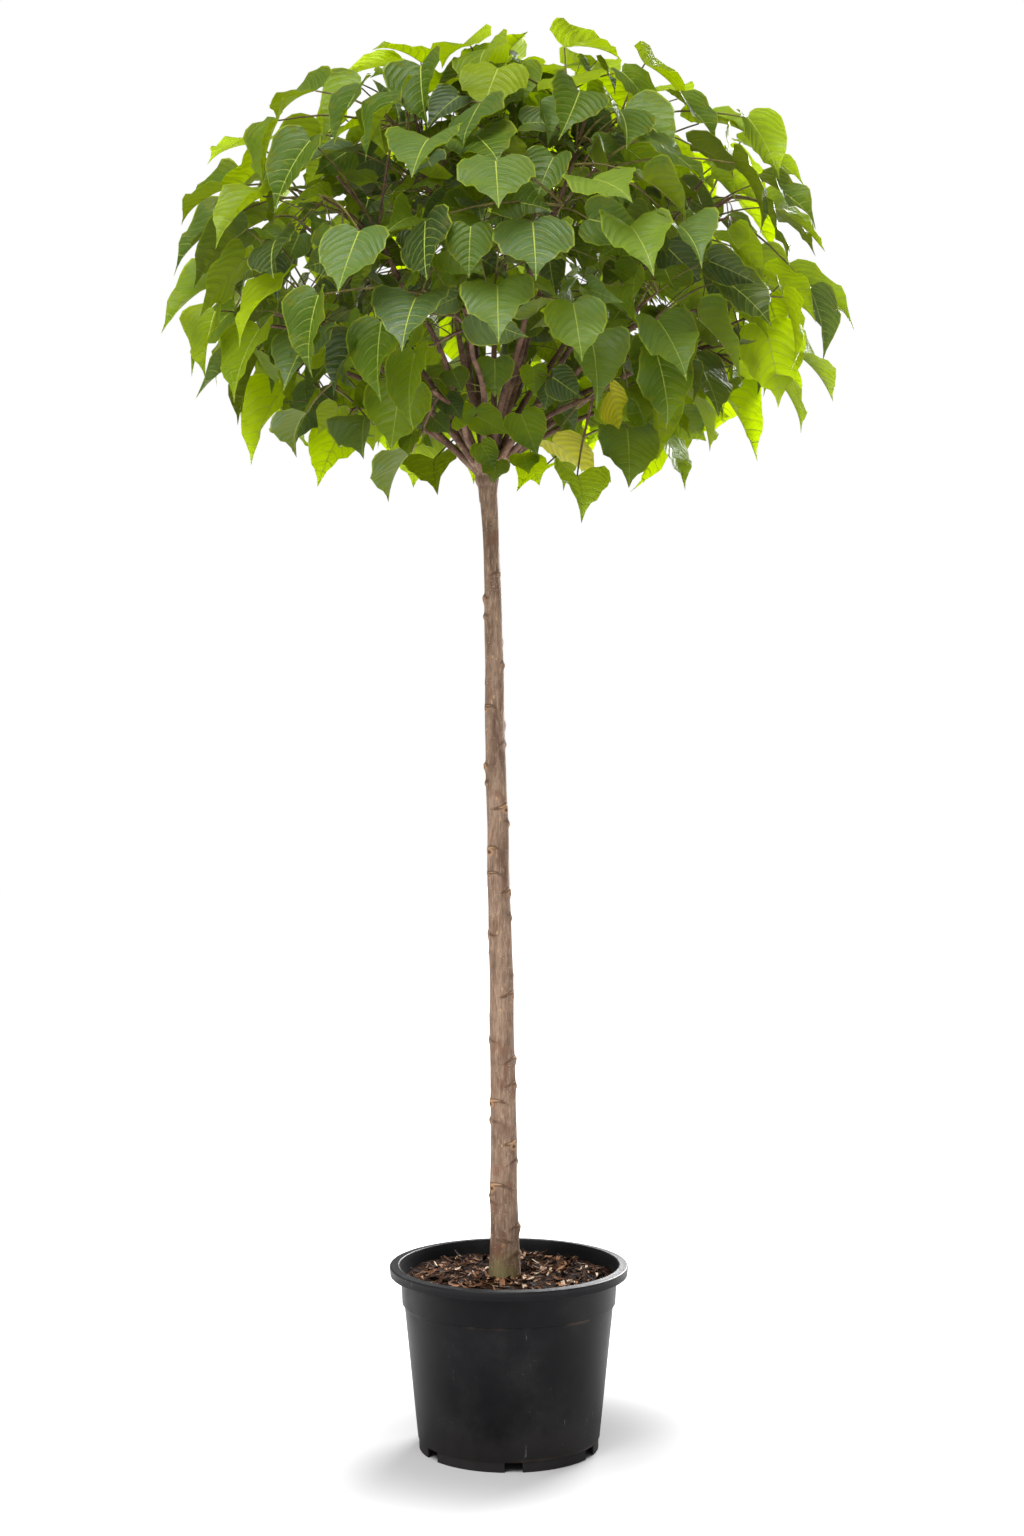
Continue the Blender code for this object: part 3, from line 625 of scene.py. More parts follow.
def thick_tree(points, triangles, half):
    """A search tree of a sheet thickened to both sides."""
    places = np.array([tuple(p) for p in points])
    faces = np.array(triangles)
    normals = np.cross(places[faces[:, 1]] - places[faces[:, 0]], places[faces[:, 2]] - places[faces[:, 0]])
    spread = np.zeros_like(places)
    for corner in range(3):
        np.add.at(spread, faces[:, corner], normals)
    spread /= np.maximum(np.linalg.norm(spread, axis=1), 1e-9)[:, None]
    both = np.vstack((places + spread * half, places - spread * half))
    count = len(places)
    edges = {}
    for a, b, c in triangles:
        for pair in ((a, b), (b, c), (c, a)):
            edges[tuple(sorted(pair))] = edges.get(tuple(sorted(pair)), 0) + 1
    polygons = list(triangles) + [tuple(i + count for i in t) for t in triangles]
    polygons += [(a, b, b + count, a + count) for (a, b), uses in edges.items() if uses == 1]
    return BVHTree.FromPolygons([tuple(p) for p in both], polygons)


def tube_tree(path, radius):
    """A search tree of a four-sided tube round a path."""
    points = []
    polygons = []
    for i, point in enumerate(path):
        heading = (path[min(i + 1, len(path) - 1)] - path[max(i - 1, 0)]).normalized()
        side = square_to(Vector((0.31, 0.22, 0.92)), heading)
        other = heading.cross(side)
        points += [point + out * radius for out in (side, other, -side, -other)]
        if i:
            last = 4 * i - 4
            polygons += [(last + k, last + (k + 1) % 4, 4 * i + (k + 1) % 4, 4 * i + k) for k in range(4)]
    return BVHTree.FromPolygons(points, polygons)


sample_tube = tube_tree([Vector(), Vector((0, 0, 1))], 0.1)
print("from a tube's middle to its wall", round(sample_tube.find_nearest(Vector((0, 0, 0.5)))[3], 3), "m")

# %% What meets what
TUBE_MARGIN = 1.2
REACH_MARGIN = 0.01


def leaf_solids(leaf, owner, clear):
    """A leaf with its petiole and the blade alone, as solids to test."""
    points, triangles = leaf_sheet(leaf)
    middle = sum(points, Vector()) / len(points)
    reach = max((p - middle).length for p in points)
    half = BLADE / 2 + clear
    whole = Solid(thick_tree(points, triangles, half), middle, reach, owner)
    of_blade = [tuple(i - 2 for i in t) for t in triangles[2:]]
    return whole, Solid(thick_tree(points[2:], of_blade, half), middle, reach, owner)


def tube_solid(path, radius, owner):
    middle = sum(path, Vector()) / len(path)
    reach = max((p - middle).length for p in path)
    return Solid(tube_tree(path, radius * TUBE_MARGIN + CLEARANCE), middle, reach, owner)


def meets(solid, others):
    """Whether a solid meets any of the others."""
    for other in others:
        if (solid.middle - other.middle).length < solid.reach + other.reach + REACH_MARGIN:
            if solid.tree.overlap(other.tree):
                return True
    return False


sample_solids = leaf_solids(sample, "sample", 0.0)
print("a leaf meets itself:", meets(sample_solids[0], sample_solids))

# %% [markdown]
# A leaf grows on the stem or twig at hand, and its petiole may start further back along it. Where a place
# is taken, the leaf is moved and turned a little more at each try, as one that grows up in shade would be.

# %% A branch


class Branch:
    """One leafy branch: the limb that carries it, its stem, its twigs and its leaves."""

    def __init__(self, index, target):
        self.name = f"branch_{index + 1:02d}"
        self.limb = limb_path(target)
        self.stem = stem_path(self.limb, target)
        self.twigs = []
        self.leaves = []
        # Parts of the limb that petioles may start on too, while the leaves by the fork grow
        self.bare = []

    def root_for(self, base, slip):
        """Where on the stem or a twig a leaf's petiole starts: near the leaf, slipped back by this much."""
        path = min([self.stem] + self.twigs + self.bare, key=lambda p: distance_to(p, base))
        way = nearest_way(path, base) * (1 - slip)
        return point_on(path, max(way, BARE_START))


print("the first branch is", Branch(0, branch_targets()[0]).name)

# %% Fit a leaf
SEARCH_REACH = 0.45


def varied(wish, attempt, chance):
    """The wish as it stands, or with more play in its place and turn at each further attempt."""
    if attempt == 0:
        return wish
    play = attempt / TRIES
    along = Matrix.Rotation(chance.uniform(-0.8, 0.8) * play, 3, wish.face) @ wish.along
    along = Matrix.Rotation(chance.uniform(-0.5, 0.5) * play, 3, wish.face.cross(along)) @ along
    face = Matrix.Rotation(chance.uniform(-0.9, 0.9) * play, 3, along) @ square_to(wish.face, along)
    outward = Vector((wish.tip.x, wish.tip.y, 0)).normalized()
    sideways = outward.cross(Vector((0, 0, 1)))
    slack = play * wish.firm
    inward = chance.uniform(0, 0.05) * slack
    aside = chance.uniform(-0.05, 0.05) * slack
    tip = wish.tip - outward * inward + sideways * aside
    tip.z += chance.uniform(-0.04, 0.03) * slack
    return wish._replace(tip=tip, along=along, face=face, length=wish.length * (1 - 0.15 * play))


def fitted_leaf(branch, wish, slip, fit):
    """The leaf for a wish with its petiole on the branch, or None if that is too long or bent too far."""
    base = base_of(wish)
    root = branch.root_for(base, slip)
    stalk = base - root
    across = wish.face.cross(wish.along)
    shortest, longest = fit.lengths
    if not shortest < stalk.length < longest:
        return None
    least_ahead, most_aside = fit.bend
    heading = stalk.normalized()
    if heading.dot(wish.along) < least_ahead or abs(heading.dot(across)) > most_aside:
        return None
    return Leaf(root, base, wish.along, across, wish.face, wish.length, wish.form)


first_wish = shown_leaves()[0]
print("a first try leaves a wish as it is:", varied(first_wish, 0, None) == first_wish)

# %% Place a leaf


def place_leaf(homes, wish, solids, chance, fit=OUTER_FIT):
    """Grow a leaf on one of the branches at hand where it meets nothing but the stem that carries it."""
    nearby = [s for s in solids if (s.middle - wish.tip).length < s.reach + SEARCH_REACH]
    for attempt in range(fit.tries):
        branch = homes[attempt % len(homes)]
        slip = 0.0 if attempt < 2 else chance.random()
        leaf = fitted_leaf(branch, varied(wish, attempt, chance), slip, fit)
        if leaf is None:
            continue
        whole, blade = leaf_solids(leaf, branch.name + " leaf", fit.clear)
        if not fit.with_stalk:
            whole = blade
        stems = [s for s in nearby if s.owner == branch.name]
        others = [s for s in nearby if s.owner != branch.name]
        if not meets(whole, others) and not meets(blade, stems):
            branch.leaves.append(leaf)
            solids.append(whole)
            return


def homes_of(branches, wish, path=lambda b: b.stem, count=2):
    """The branches that pass nearest to a wished leaf, by this path of theirs."""
    return sorted(branches, key=lambda b: distance_to(path(b), base_of(wish)))[:count]


print("a leaf is tried", OUTER_FIT.tries, "times at most")

# %% Grow the leaves of the solids
TRUNK_CLEAR_RADIUS = 0.018


def lay_out():
    """Every leafy branch with the leaves that its solid has, and all the solids that were placed."""
    chance = random.Random(SEED)
    branches = [Branch(i, target) for i, target in enumerate(branch_targets())]
    shown = shown_leaves()
    wishes = shown + thinned(ruled_leaves(RULE_LEAVES, chance), shown)
    homes = [homes_of(branches, wish) for wish in wishes]
    solids = [tube_solid([Vector((x, 0, z)) for z, x, _ in TRUNK], TRUNK_CLEAR_RADIUS, "trunk")]
    for branch in branches:
        solids.append(tube_solid(branch.limb[1:], LIMB_FOOT_RADIUS, "trunk"))
        solids.append(tube_solid(branch.stem[1:], LIMB_END_RADIUS, branch.name))
    for branch in branches:
        bases = [base_of(w) for w, near in zip(wishes, homes) if near[0] is branch]
        for path in twig_paths(branch.stem, bases, TWIGS):
            twig = tube_solid(path, TWIG_RADIUS, branch.name)
            if not meets(twig, [s for s in solids if s.owner != branch.name]):
                branch.twigs.append(path)
                solids.append(twig)
    for wish, near in zip(wishes, homes):
        place_leaf(near, wish, solids, chance)
    return branches, solids


branches, solids = lay_out()
print("leaves of the solids", sum(len(b.leaves) for b in branches))

# %% [markdown]
# A real crown of this size holds several hundred leaves. The further ones hang in layers between and
# behind the first, by the same rule and with the same test, but they may touch a petiole.

# %% Layers of leaves
# Layers under the outline: how many leaves, how deep, their play in depth, and the turn of the first
LAYERS = (
    (130, 0.08, 0.030, 2.1),
    (300, 0.18, 0.060, 1.1),
    (300, 0.29, 0.070, 3.3),
    (210, 0.44, 0.080, 5.0),
    (110, 0.62, 0.080, 0.7),
)
LAYER_TRIES = 30
LAYER_SIZES = (0.44, 0.76)
LAYER_SPAN = (1.385, 1.88)
LAYER_SHARE = 0.84
LAYER_STALK = 0.135
LAYER_BEND = (-0.5, 0.95)
TOP_FIT = Fit(TRIES, 0.0, (PETIOLE_LENGTHS[0], LAYER_STALK), LAYER_BEND, False)
LAYER_FIT = TOP_FIT._replace(tries=LAYER_TRIES)
FORMS += (
    Form(fold=0.75, arch=0.35, wave=0.10, twist=0.30),
    Form(fold=-0.25, arch=0.30, wave=0.10, twist=-0.40),
    Form(fold=0.45, arch=0.55, wave=0.08, twist=0.20),
    Form(fold=0.20, arch=-0.12, wave=0.12, twist=-0.70),
)


def is_between(wish):
    """Whether a leaf of the layers leaves the limbs and the gaps in the photograph's outline open."""
    low, high = LAYER_SPAN
    inside = abs(wish.tip.x) < LAYER_SHARE * crown_radius(wish.tip.z)
    return low < wish.tip.z < high and inside and not hides_limbs(wish)


def turned_about(wish, chance):
    """A small leaf of the layers, turned further about than those of the outline."""
    along = Matrix.Rotation(chance.uniform(-1.1, 1.1), 3, wish.face) @ wish.along
    along = Matrix.Rotation(chance.uniform(-0.8, 0.5), 3, wish.face.cross(along)) @ along
    face = Matrix.Rotation(chance.uniform(-1.2, 1.2), 3, along) @ square_to(wish.face, along)
    return wish._replace(along=along, face=face, length=LEAF_LENGTH * chance.uniform(*LAYER_SIZES))


print("leaves tried in the layers", sum(count for count, *_ in LAYERS))

# %% [markdown]
# Two places need leaves of their own, read off the photograph like the first: the highest part of the
# outline, and the fork, where small leaves hang before the bare limbs and lit ones show behind them. These
# may grow on the limbs too.

# %% Leaves of the top and the fork
TOP_LEAVES = (
    (398, 53, 369, 48),
    (456, 60, 441, 66),
    (489, 58, 470, 47),
    (508, 45, 528, 31),
    (592, 55, 622, 59),
    (672, 84, 700, 97),
    (745, 128, 760, 152),
    (262, 118, 232, 132),
)
SMALL_LEAVES = (
    (453, 408, 461, 419),
    (467, 415, 478, 412),
    (490, 425, 507, 434),
    (487, 456, 495, 470),
    (495, 472, 494, 480),
    (528, 433, 537, 455),
    (495, 376, 495, 396),
    (534, 381, 535, 396),
    (557, 395, 547, 410),
    (457, 381, 461, 390),
    (526, 464, 528, 471),
    (538, 470, 540, 483),
    (410, 448, 406, 455),
    (440, 427, 448, 433),
    (570, 378, 582, 398),
    (472, 334, 471, 346),
    (423, 357, 408, 362),
    (381, 392, 372, 410),
)
LIT_LEAVES = (
    (416, 387, 428, 391),
    (396, 419, 397, 427),
    (402, 438, 387, 447),
    (430, 409, 437, 412),
    (573, 410, 580, 430),
    (575, 455, 580, 465),
    (543, 457, 545, 467),
    (555, 375, 547, 383),
    (521, 358, 519, 368),
    (590, 396, 604, 408),
)
print("leaves read off the top", len(TOP_LEAVES), "and by the fork", len(SMALL_LEAVES) + len(LIT_LEAVES))

# %% Grow the leaves of the top and the fork
FORK = ((SMALL_LEAVES, -0.13), (LIT_LEAVES, 0.12))
FORK_HOMES = 4
SMALL_SIZES = (0.043, 0.075)
SMALL_STRETCH = 1.1
SMALL_LEAN = 0.6


def fork_leaf(pixels, depth):
    """A small leaf by the fork, which shows its face to the viewer."""
    middle = seen_at(pixels[0], pixels[1], depth)
    flat = seen_at(pixels[2], pixels[3], depth) - middle
    length = max(SMALL_SIZES[0], min(SMALL_STRETCH * flat.length / BLADE_MIDDLE, SMALL_SIZES[1]))
    towards = math.sqrt(max((BLADE_MIDDLE * length) ** 2 - flat.length**2, 0.0))
    along = Vector((flat.x, -SMALL_LEAN * towards, flat.z)).normalized()
    face = square_to(Vector((0, -1, 0.5)), along)
    return Wish(middle + along * BLADE_MIDDLE * length, along, face, length, 0, SHOWN_FIRM)


between = random.Random(SEED + 1)
for i, pixels in enumerate(TOP_LEAVES):
    wish = shown_leaf(pixels, EDGE_DEPTH * math.sin(EDGE_TURN * i), i, True)
    place_leaf(homes_of(branches, wish), wish, solids, between, TOP_FIT)
for branch in branches:
    branch.bare = [branch.limb[1:]]
for shown, depth in FORK:
    for pixels in shown:
        wish = fork_leaf(pixels, depth)
        near = homes_of(branches, wish, lambda b: b.limb[1:] + b.stem, FORK_HOMES)
        place_leaf(near, wish, solids, between, TOP_FIT)
for branch in branches:
    branch.bare = []
print("with the top and the fork", sum(len(b.leaves) for b in branches))

# %% Grow the layers
for count, depth, play, first_turn in LAYERS:
    before = sum(len(b.leaves) for b in branches)
    for wish in ruled_leaves(count, between, first_turn, depth, play):
        wish = turned_about(wish, between)
        if is_between(wish):
            place_leaf(homes_of(branches, wish), wish, solids, between, LAYER_FIT)
    print("depth", depth, "grew", sum(len(b.leaves) for b in branches) - before, "of", count)

# %% [markdown]
# ## One blade, flat
# The blade starts as a flat heart with a long drip tip. Its rows fan out of the notch, and it has an upper
# and a lower side half a millimetre apart with a rim between them, because the two sides look different.
# Every point keeps its place on the blade as an attribute, which both the bending and the veins read.

# %% The outline of a blade
FINE_OUTLINE = (
    (0.000, 0.005),
    (-0.070, 0.090),
    (-0.110, 0.200),
    (-0.080, 0.340),
    (0.030, 0.450),
    (0.190, 0.500),
    (0.370, 0.475),
    (0.540, 0.390),
    (0.690, 0.265),
    (0.800, 0.135),
    (0.890, 0.045),
    (1.000, 0.000),
)


def smooth_path(points, count):
    """This many points evenly spaced along a smooth curve through the given ones."""
    known = np.array([tuple(p) for p in points], float)
    ends = np.vstack((2 * known[0] - known[1], known, 2 * known[-1] - known[-2]))
    fine = []
    for i in range(1, len(ends) - 2):
        a, b, c, d = ends[i - 1 : i + 3]
        square = 2 * a - 5 * b + 4 * c - d
        cube = 3 * b - a - 3 * c + d
        for t in np.linspace(0, 1, 12, endpoint=False):
            fine.append(0.5 * (2 * b + (c - a) * t + square * t**2 + cube * t**3))
    fine = np.array(fine + [known[-1]])
    way = np.concatenate(([0.0], np.cumsum(np.linalg.norm(np.diff(fine, axis=0), axis=1))))
    even = np.linspace(0, way[-1], count)
    return np.stack([np.interp(even, way, fine[:, k]) for k in range(known.shape[1])], axis=1)


print("the outline of half a blade is", round(float(smooth_path(FINE_OUTLINE, 15)[:, 1].max()), 3), "wide")

# %% Rows of a blade
LARGE_ROWS = 14
SMALL_ROWS = 8
COLUMNS = (0.55, 1.0)
ROW_SPREAD = 1.25
SCALLOP = 0.010
SCALLOP_EASE = 3


def store(mesh, name, kind, domain, values):
    """Keep one value for each point or face of a mesh under a name."""
    made = mesh.attributes.new(name, kind, domain)
    made.data.foreach_set("vector" if kind == "FLOAT_VECTOR" else "value", np.ravel(values))


def blade_half(side, count):
    """The places of one half of the blade, row by row: along, across and share of the way to the edge."""
    edge = smooth_path(FINE_OUTLINE, count + 1)
    rows = []
    for i in range(1, count):
        ahead = edge[i + 1] - edge[i - 1]
        outwards = np.array((-ahead[1], ahead[0])) / np.hypot(*ahead)
        bump = SCALLOP if i % 2 else -SCALLOP
        rim = edge[i] + outwards * bump * min(i, count - i, SCALLOP_EASE) / SCALLOP_EASE
        middle = np.array((((i - 1) / (count - 1)) ** ROW_SPREAD, 0.0))
        row = [middle + (rim - middle) * f for f in COLUMNS]
        rows.append([(u, side * v, f) for (u, v), f in zip(row, COLUMNS)])
    return rows


print("rows of half a blade", len(blade_half(1, LARGE_ROWS)), "and", len(blade_half(1, SMALL_ROWS)))

# %% The flat blade


def flat_blade(name, count):
    """A flat blade of this many rows, with its place on the blade and its scallops kept at each point."""
    places = [(((i - 1) / (count - 1)) ** ROW_SPREAD, 0.0, 0.0) for i in range(1, count)] + [(1.0, 0.0, 0.0)]
    bumps = [0.0] * len(places)
    tip = count - 1
    faces = []
    rim = set()
    for side in (1, -1):
        grid = []
        for i, row in enumerate(blade_half(side, count)):
            grid.append([i] + list(range(len(places), len(places) + len(row))))
            places += row
            bumps += [(1.0 if i % 2 else -1.0) * f**3 for f in COLUMNS]
        for near, far in zip(grid, grid[1:]):
            for k in range(len(COLUMNS)):
                quad = (near[k], far[k], far[k + 1], near[k + 1])
                faces.append(quad if side > 0 else quad[::-1])
        last = grid[-1]
        for k in range(len(COLUMNS)):
            corner = (last[k], tip, last[k + 1])
            faces.append(corner if side > 0 else corner[::-1])
        border = grid[0] + [row[-1] for row in grid[1:]] + [tip]
        rim |= {tuple(sorted(pair)) for pair in zip(border, border[1:])}
    border = {i for pair in rim for i in pair}
    inner = [i for i in range(len(places)) if i not in border]
    lower = {i: i for i in border} | {i: len(places) + n for n, i in enumerate(inner)}
    sides = [0.0 if i in border else 1.0 for i in range(len(places))] + [-1.0] * len(inner)
    both = faces + [tuple(lower[i] for i in reversed(f)) for f in faces]
    places += [places[i] for i in inner]
    bumps += [bumps[i] for i in inner]
    mesh = bpy.data.meshes.new(name)
    mesh.from_pydata([(u, v, 0.0) for u, v, _ in places], [], both)
    store(mesh, "blade_place", "FLOAT_VECTOR", "POINT", places)
    store(mesh, "blade_bump", "FLOAT", "POINT", bumps)
    store(mesh, "blade_side", "FLOAT", "POINT", sides)
    store(mesh, "underside", "FLOAT", "FACE", [0.0] * len(faces) + [1.0] * len(faces))
    store(mesh, "sharp_edge", "BOOLEAN", "EDGE", [tuple(sorted(e.vertices)) in rim for e in mesh.edges])
    print(name, "points", len(places), "faces", len(both))
    return bpy.data.objects.new(name, mesh)


large_blade = flat_blade("large blade", LARGE_ROWS)
small_blade = flat_blade("small blade", SMALL_ROWS)

# %% [markdown]
# ## Leaf finishes
# Seen from above a leaf is satin green with sunk, pale veins. Below it is paler and duller, and the veins
# stand out. Light from behind shines through as yellow-green, which makes the rim of the crown glow, and the
# rim leaves are also painted lighter as painted light.
# The veins are drawn from a point's place on the blade, so they follow every fold and twist.

# %% The start of every finish


class Finish(Net):
    """A new material, with its shader and each spot's place on the object."""

    def __init__(self, name):
        self.material = bpy.data.materials.new(name)
        self.material.use_nodes = True
        super().__init__(self.material.node_tree)
        self.shader = self.tree.nodes["Principled BSDF"]
        self.place = self.add("ShaderNodeTexCoord", out="Object")

    def attribute(self, name, out="Fac"):
        return self.add("ShaderNodeAttribute", {"attribute_name": name}, out=out)

    def cells(self, place, scale, feature="F1"):
        """How far each spot is from the middle of its cell, or from its edge."""
        return self.add("ShaderNodeTexVoronoi", {"feature": feature}, {"Vector": place, "Scale": scale})

    def bump(self, height, strength, distance):
        """The normal of a surface with this relief."""
        sockets = {"Height": height, "Strength": strength, "Distance": distance}
        return self.add("ShaderNodeBump", sockets=sockets)

    def paint(self, sockets):
        """Feed the shader by the names of its sockets, and give the finished material."""
        for name, value in sockets.items():
            self.feed(self.shader.inputs[name], value)
        return self.material


trial = Finish("trial")
print("nodes of a new finish", len(trial.tree.nodes))

# %% Veins
VEIN_SPACING = 0.155
VEIN_LEAN = 0.22
VEIN_ARCH = 1.9


def vein_masks(net, u, v):
    """Masks of the midrib, the side veins and the net of small veins, and how far a spot is off a vein."""
    across = abs(v)
    rib = across.step(0.019 - 0.012 * u, 0.006 - 0.004 * u)
    way = (u - VEIN_LEAN * across - VEIN_ARCH * across * across) / VEIN_SPACING
    off = abs(way.fraction() - 0.5)
    wide = 0.046 - 0.045 * across
    side = off.step(0.5 - 1.6 * wide, 0.5 - 0.4 * wide)
    mesh = net.cells(net.joined(u * 1.3, across, 0.0), 24.0, "DISTANCE_TO_EDGE")
    return rib, side, mesh.step(0.10, 0.02), off


vein_masks(trial, *trial.parts(trial.place)[:2])
print("nodes with the veins", len(trial.tree.nodes))
bpy.data.materials.remove(trial.material)

# %% Looks of the two sides of a leaf
LeafLook = namedtuple("LeafLook", "dark mid young vein margin yellow rough through share gloss raised")
LIGHT_THROUGH = linear(214, 230, 4)
UPPER_LOOK = LeafLook(
    dark=linear(20, 46, 14),
    mid=linear(66, 98, 4),
    young=linear(150, 170, 4),
    vein=linear(176, 190, 72),
    margin=linear(184, 198, 44),
    yellow=linear(200, 188, 24),
    rough=0.38,
    through=LIGHT_THROUGH,
    share=0.54,
    gloss=0.34,
    raised=-1.0,
)
UNDER_LOOK = LeafLook(
    dark=linear(58, 66, 24),
    mid=linear(98, 112, 18),
    young=linear(148, 162, 16),
    vein=linear(158, 164, 76),
    margin=linear(176, 186, 46),
    yellow=linear(198, 188, 34),
    rough=0.56,
    through=LIGHT_THROUGH,
    share=0.58,
    gloss=0.22,
    raised=1.0,
)
print("roughness above", UPPER_LOOK.rough, "and below", UNDER_LOOK.rough)

# %% The two sides of a leaf
PAINTED_SHEEN_TINT = linear(96, 128, 96)


def leaf_finish(name, look):
    """One side of the blade: its colours from dark to young, its gloss and the light it lets through."""
    net = Finish(name)
    u, v, edge = net.parts(net.attribute("blade_place", "Vector"))
    tone = net.attribute("tone")
    rib, side, mesh, off = vein_masks(net, u, v)
    patches = net.noise(net.place, 34.0, 3.0)
    fine = net.noise(net.place, 260.0, 2.0)
    level = tone + 0.35 * (patches - 0.5) + 0.10 * (fine - 0.5)
    colour = net.mixed(level.step(0.05, 0.55), look.dark, look.mid)
    colour = net.mixed(level.step(0.50, 1.0), colour, look.young)
    # Painted sheen: a bluish tint stands for the sky's reflection on some dark leaves and on the front ones
    colour = net.mixed(0.42 * net.attribute("bloom"), colour, PAINTED_SHEEN_TINT)
    turning = (net.attribute("age") * 1.6 + patches - 1.1).step(0.0, 0.45)
    colour = net.mixed(turning, colour, look.yellow)
    quilt = (1 - 2 * off) ** 2.0
    # Painted shade: the colour darkens towards the veins, as shade in the quilting between them would
    colour = net.mixed(0.38 * (1 - quilt) * (1 - level.step(0.5, 1.1)), colour, look.dark)
    colour = net.mixed(0.10 * mesh * (1 - rib), colour, look.vein)
    colour = net.mixed(0.42 * side, colour, look.vein)
    colour = net.mixed(0.85 * rib, colour, look.vein)
    colour = net.mixed(0.48 * edge.step(0.93, 0.985), colour, look.margin)
    veins = rib + 0.6 * side + 0.15 * mesh
    bump = net.bump(look.raised * veins - look.raised * 0.8 * quilt + 0.15 * fine, 0.7, 0.0012)
    rough = look.rough + 0.16 * (patches - 0.5) + 0.08 * side
    net.paint({"Specular IOR Level": look.gloss, "Base Color": colour, "Roughness": rough, "Normal": bump})
    glow = net.add("ShaderNodeBsdfTranslucent", sockets={"Color": look.through, "Normal": bump})
    part = (look.share * (0.40 + 0.80 * tone)) * (1 - 0.60 * rib) * (1 - 0.45 * side) * (1 - 0.14 * mesh)
    both = net.add("ShaderNodeMixShader", sockets={0: part, 1: Wire(net, net.shader.outputs[0]), 2: glow})
    net.feed(net.tree.nodes["Material Output"].inputs["Surface"], both)
    return net.material


upper_side = leaf_finish("leaf upper side", UPPER_LOOK)
under_side = leaf_finish("leaf underside", UNDER_LOOK)
print("leaf finishes", upper_side.name, under_side.name)

# %% [markdown]
# ## Bark finishes
# Young wood on this tree is brown with a purple cast and pale pores. Petioles are olive, with browner
# patches.

# %% Bark of twigs and petioles
BARK_GRAIN = 220.0


def wood_finish(name, low, high, pore, rough):
    """Bark with grain along it, soft patches and small pale pores."""
    net = Finish(name)
    patches = net.noise(net.place, 46.0, 4.0, 0.6)
    fine = net.noise(net.place, BARK_GRAIN, 3.0, 0.6)
    pores = net.cells(net.place, 190.0).step(0.24, 0.12) * patches.step(0.42, 0.60)
    colour = net.mixed((0.65 * patches + 0.35 * fine).step(0.32, 0.68), low, high)
    colour = net.mixed(0.7 * pores, colour, pore)
    rough = rough + 0.2 * (fine - 0.5)
    bump = net.bump(fine + 0.6 * patches + 0.8 * pores, 0.6, 0.0008)
    return net.paint({"Specular IOR Level": 0.25, "Base Color": colour, "Roughness": rough, "Normal": bump})


twig_bark = wood_finish("twig bark", linear(66, 45, 36), linear(122, 92, 73), linear(170, 142, 114), 0.66)
stalk_skin = wood_finish("petiole skin", linear(74, 60, 34), linear(116, 108, 50), linear(140, 126, 74), 0.5)
print("bark finishes", twig_bark.name, stalk_skin.name)

# %% [markdown]
# ## The leaf grower
# One Geometry Nodes tree grows a whole branch. It gets a mesh of lone points, one for each leaf, and of
# paths, which are the stems, twigs and petioles. It puts a flat blade on each point, folds it along the
# midrib, arches it to the tip, waves its edge and twists it, and it sweeps a round section along each path.
# The tree's sizes are inputs, so that the same tree can also sweep the limbs, with other values.

# %% The start of a tree
SOCKET_KINDS = {
    float: "NodeSocketFloat",
    int: "NodeSocketInt",
    bpy.types.Object: "NodeSocketObject",
    bpy.types.Collection: "NodeSocketCollection",
}


class Maker(Net):
    """A Geometry Nodes tree with an input for the geometry and one for each named value."""

    def __init__(self, name, values):
        super().__init__(bpy.data.node_groups.new(name, "GeometryNodeTree"))
        sockets = self.tree.interface
        sockets.new_socket("Geometry", in_out="INPUT", socket_type="NodeSocketGeometry")
        for title, value in values.items():
            sockets.new_socket(title, in_out="INPUT", socket_type=SOCKET_KINDS[type(value)])
        sockets.new_socket("Geometry", in_out="OUTPUT", socket_type="NodeSocketGeometry")
        self.inputs = self.tree.nodes.new("NodeGroupInput")

    def given(self, name):
        return Wire(self, self.inputs.outputs[name])

    def read(self, name, kind="FLOAT"):
        return self.add("GeometryNodeInputNamedAttribute", {"data_type": kind}, {"Name": name})

    def covered(self, geometry, material, chosen=True):
        sockets = {0: geometry, "Selection": chosen, "Material": material}
        return self.add("GeometryNodeSetMaterial", sockets=sockets)

    def together(self, *pieces):
        whole = self.add("GeometryNodeJoinGeometry")
        for piece in pieces:
            self.tree.links.new(piece.socket, whole.socket.node.inputs[0])
        return whole

    def finished(self, geometry):
        """The tree, with this geometry as what it makes."""
        self.feed(self.tree.nodes.new("NodeGroupOutput").inputs[0], geometry)
        return self.tree


print("kinds of inputs", list(SOCKET_KINDS.values()))

# %% Where a blade's points go
GROWER_VALUES = {
    "Large blade": large_blade,
    "Small blade": small_blade,
    "Largest small": 0.072,
    "Blade thickness": 0.0005,
    "Edge ripple": 0.014,
    "Waves": 1.6,
    "Sides of a stem": 8,
    "Bark roughness": 0.00045,
}
EDGE_SWAY = 0.03
HOOK_START = 0.72


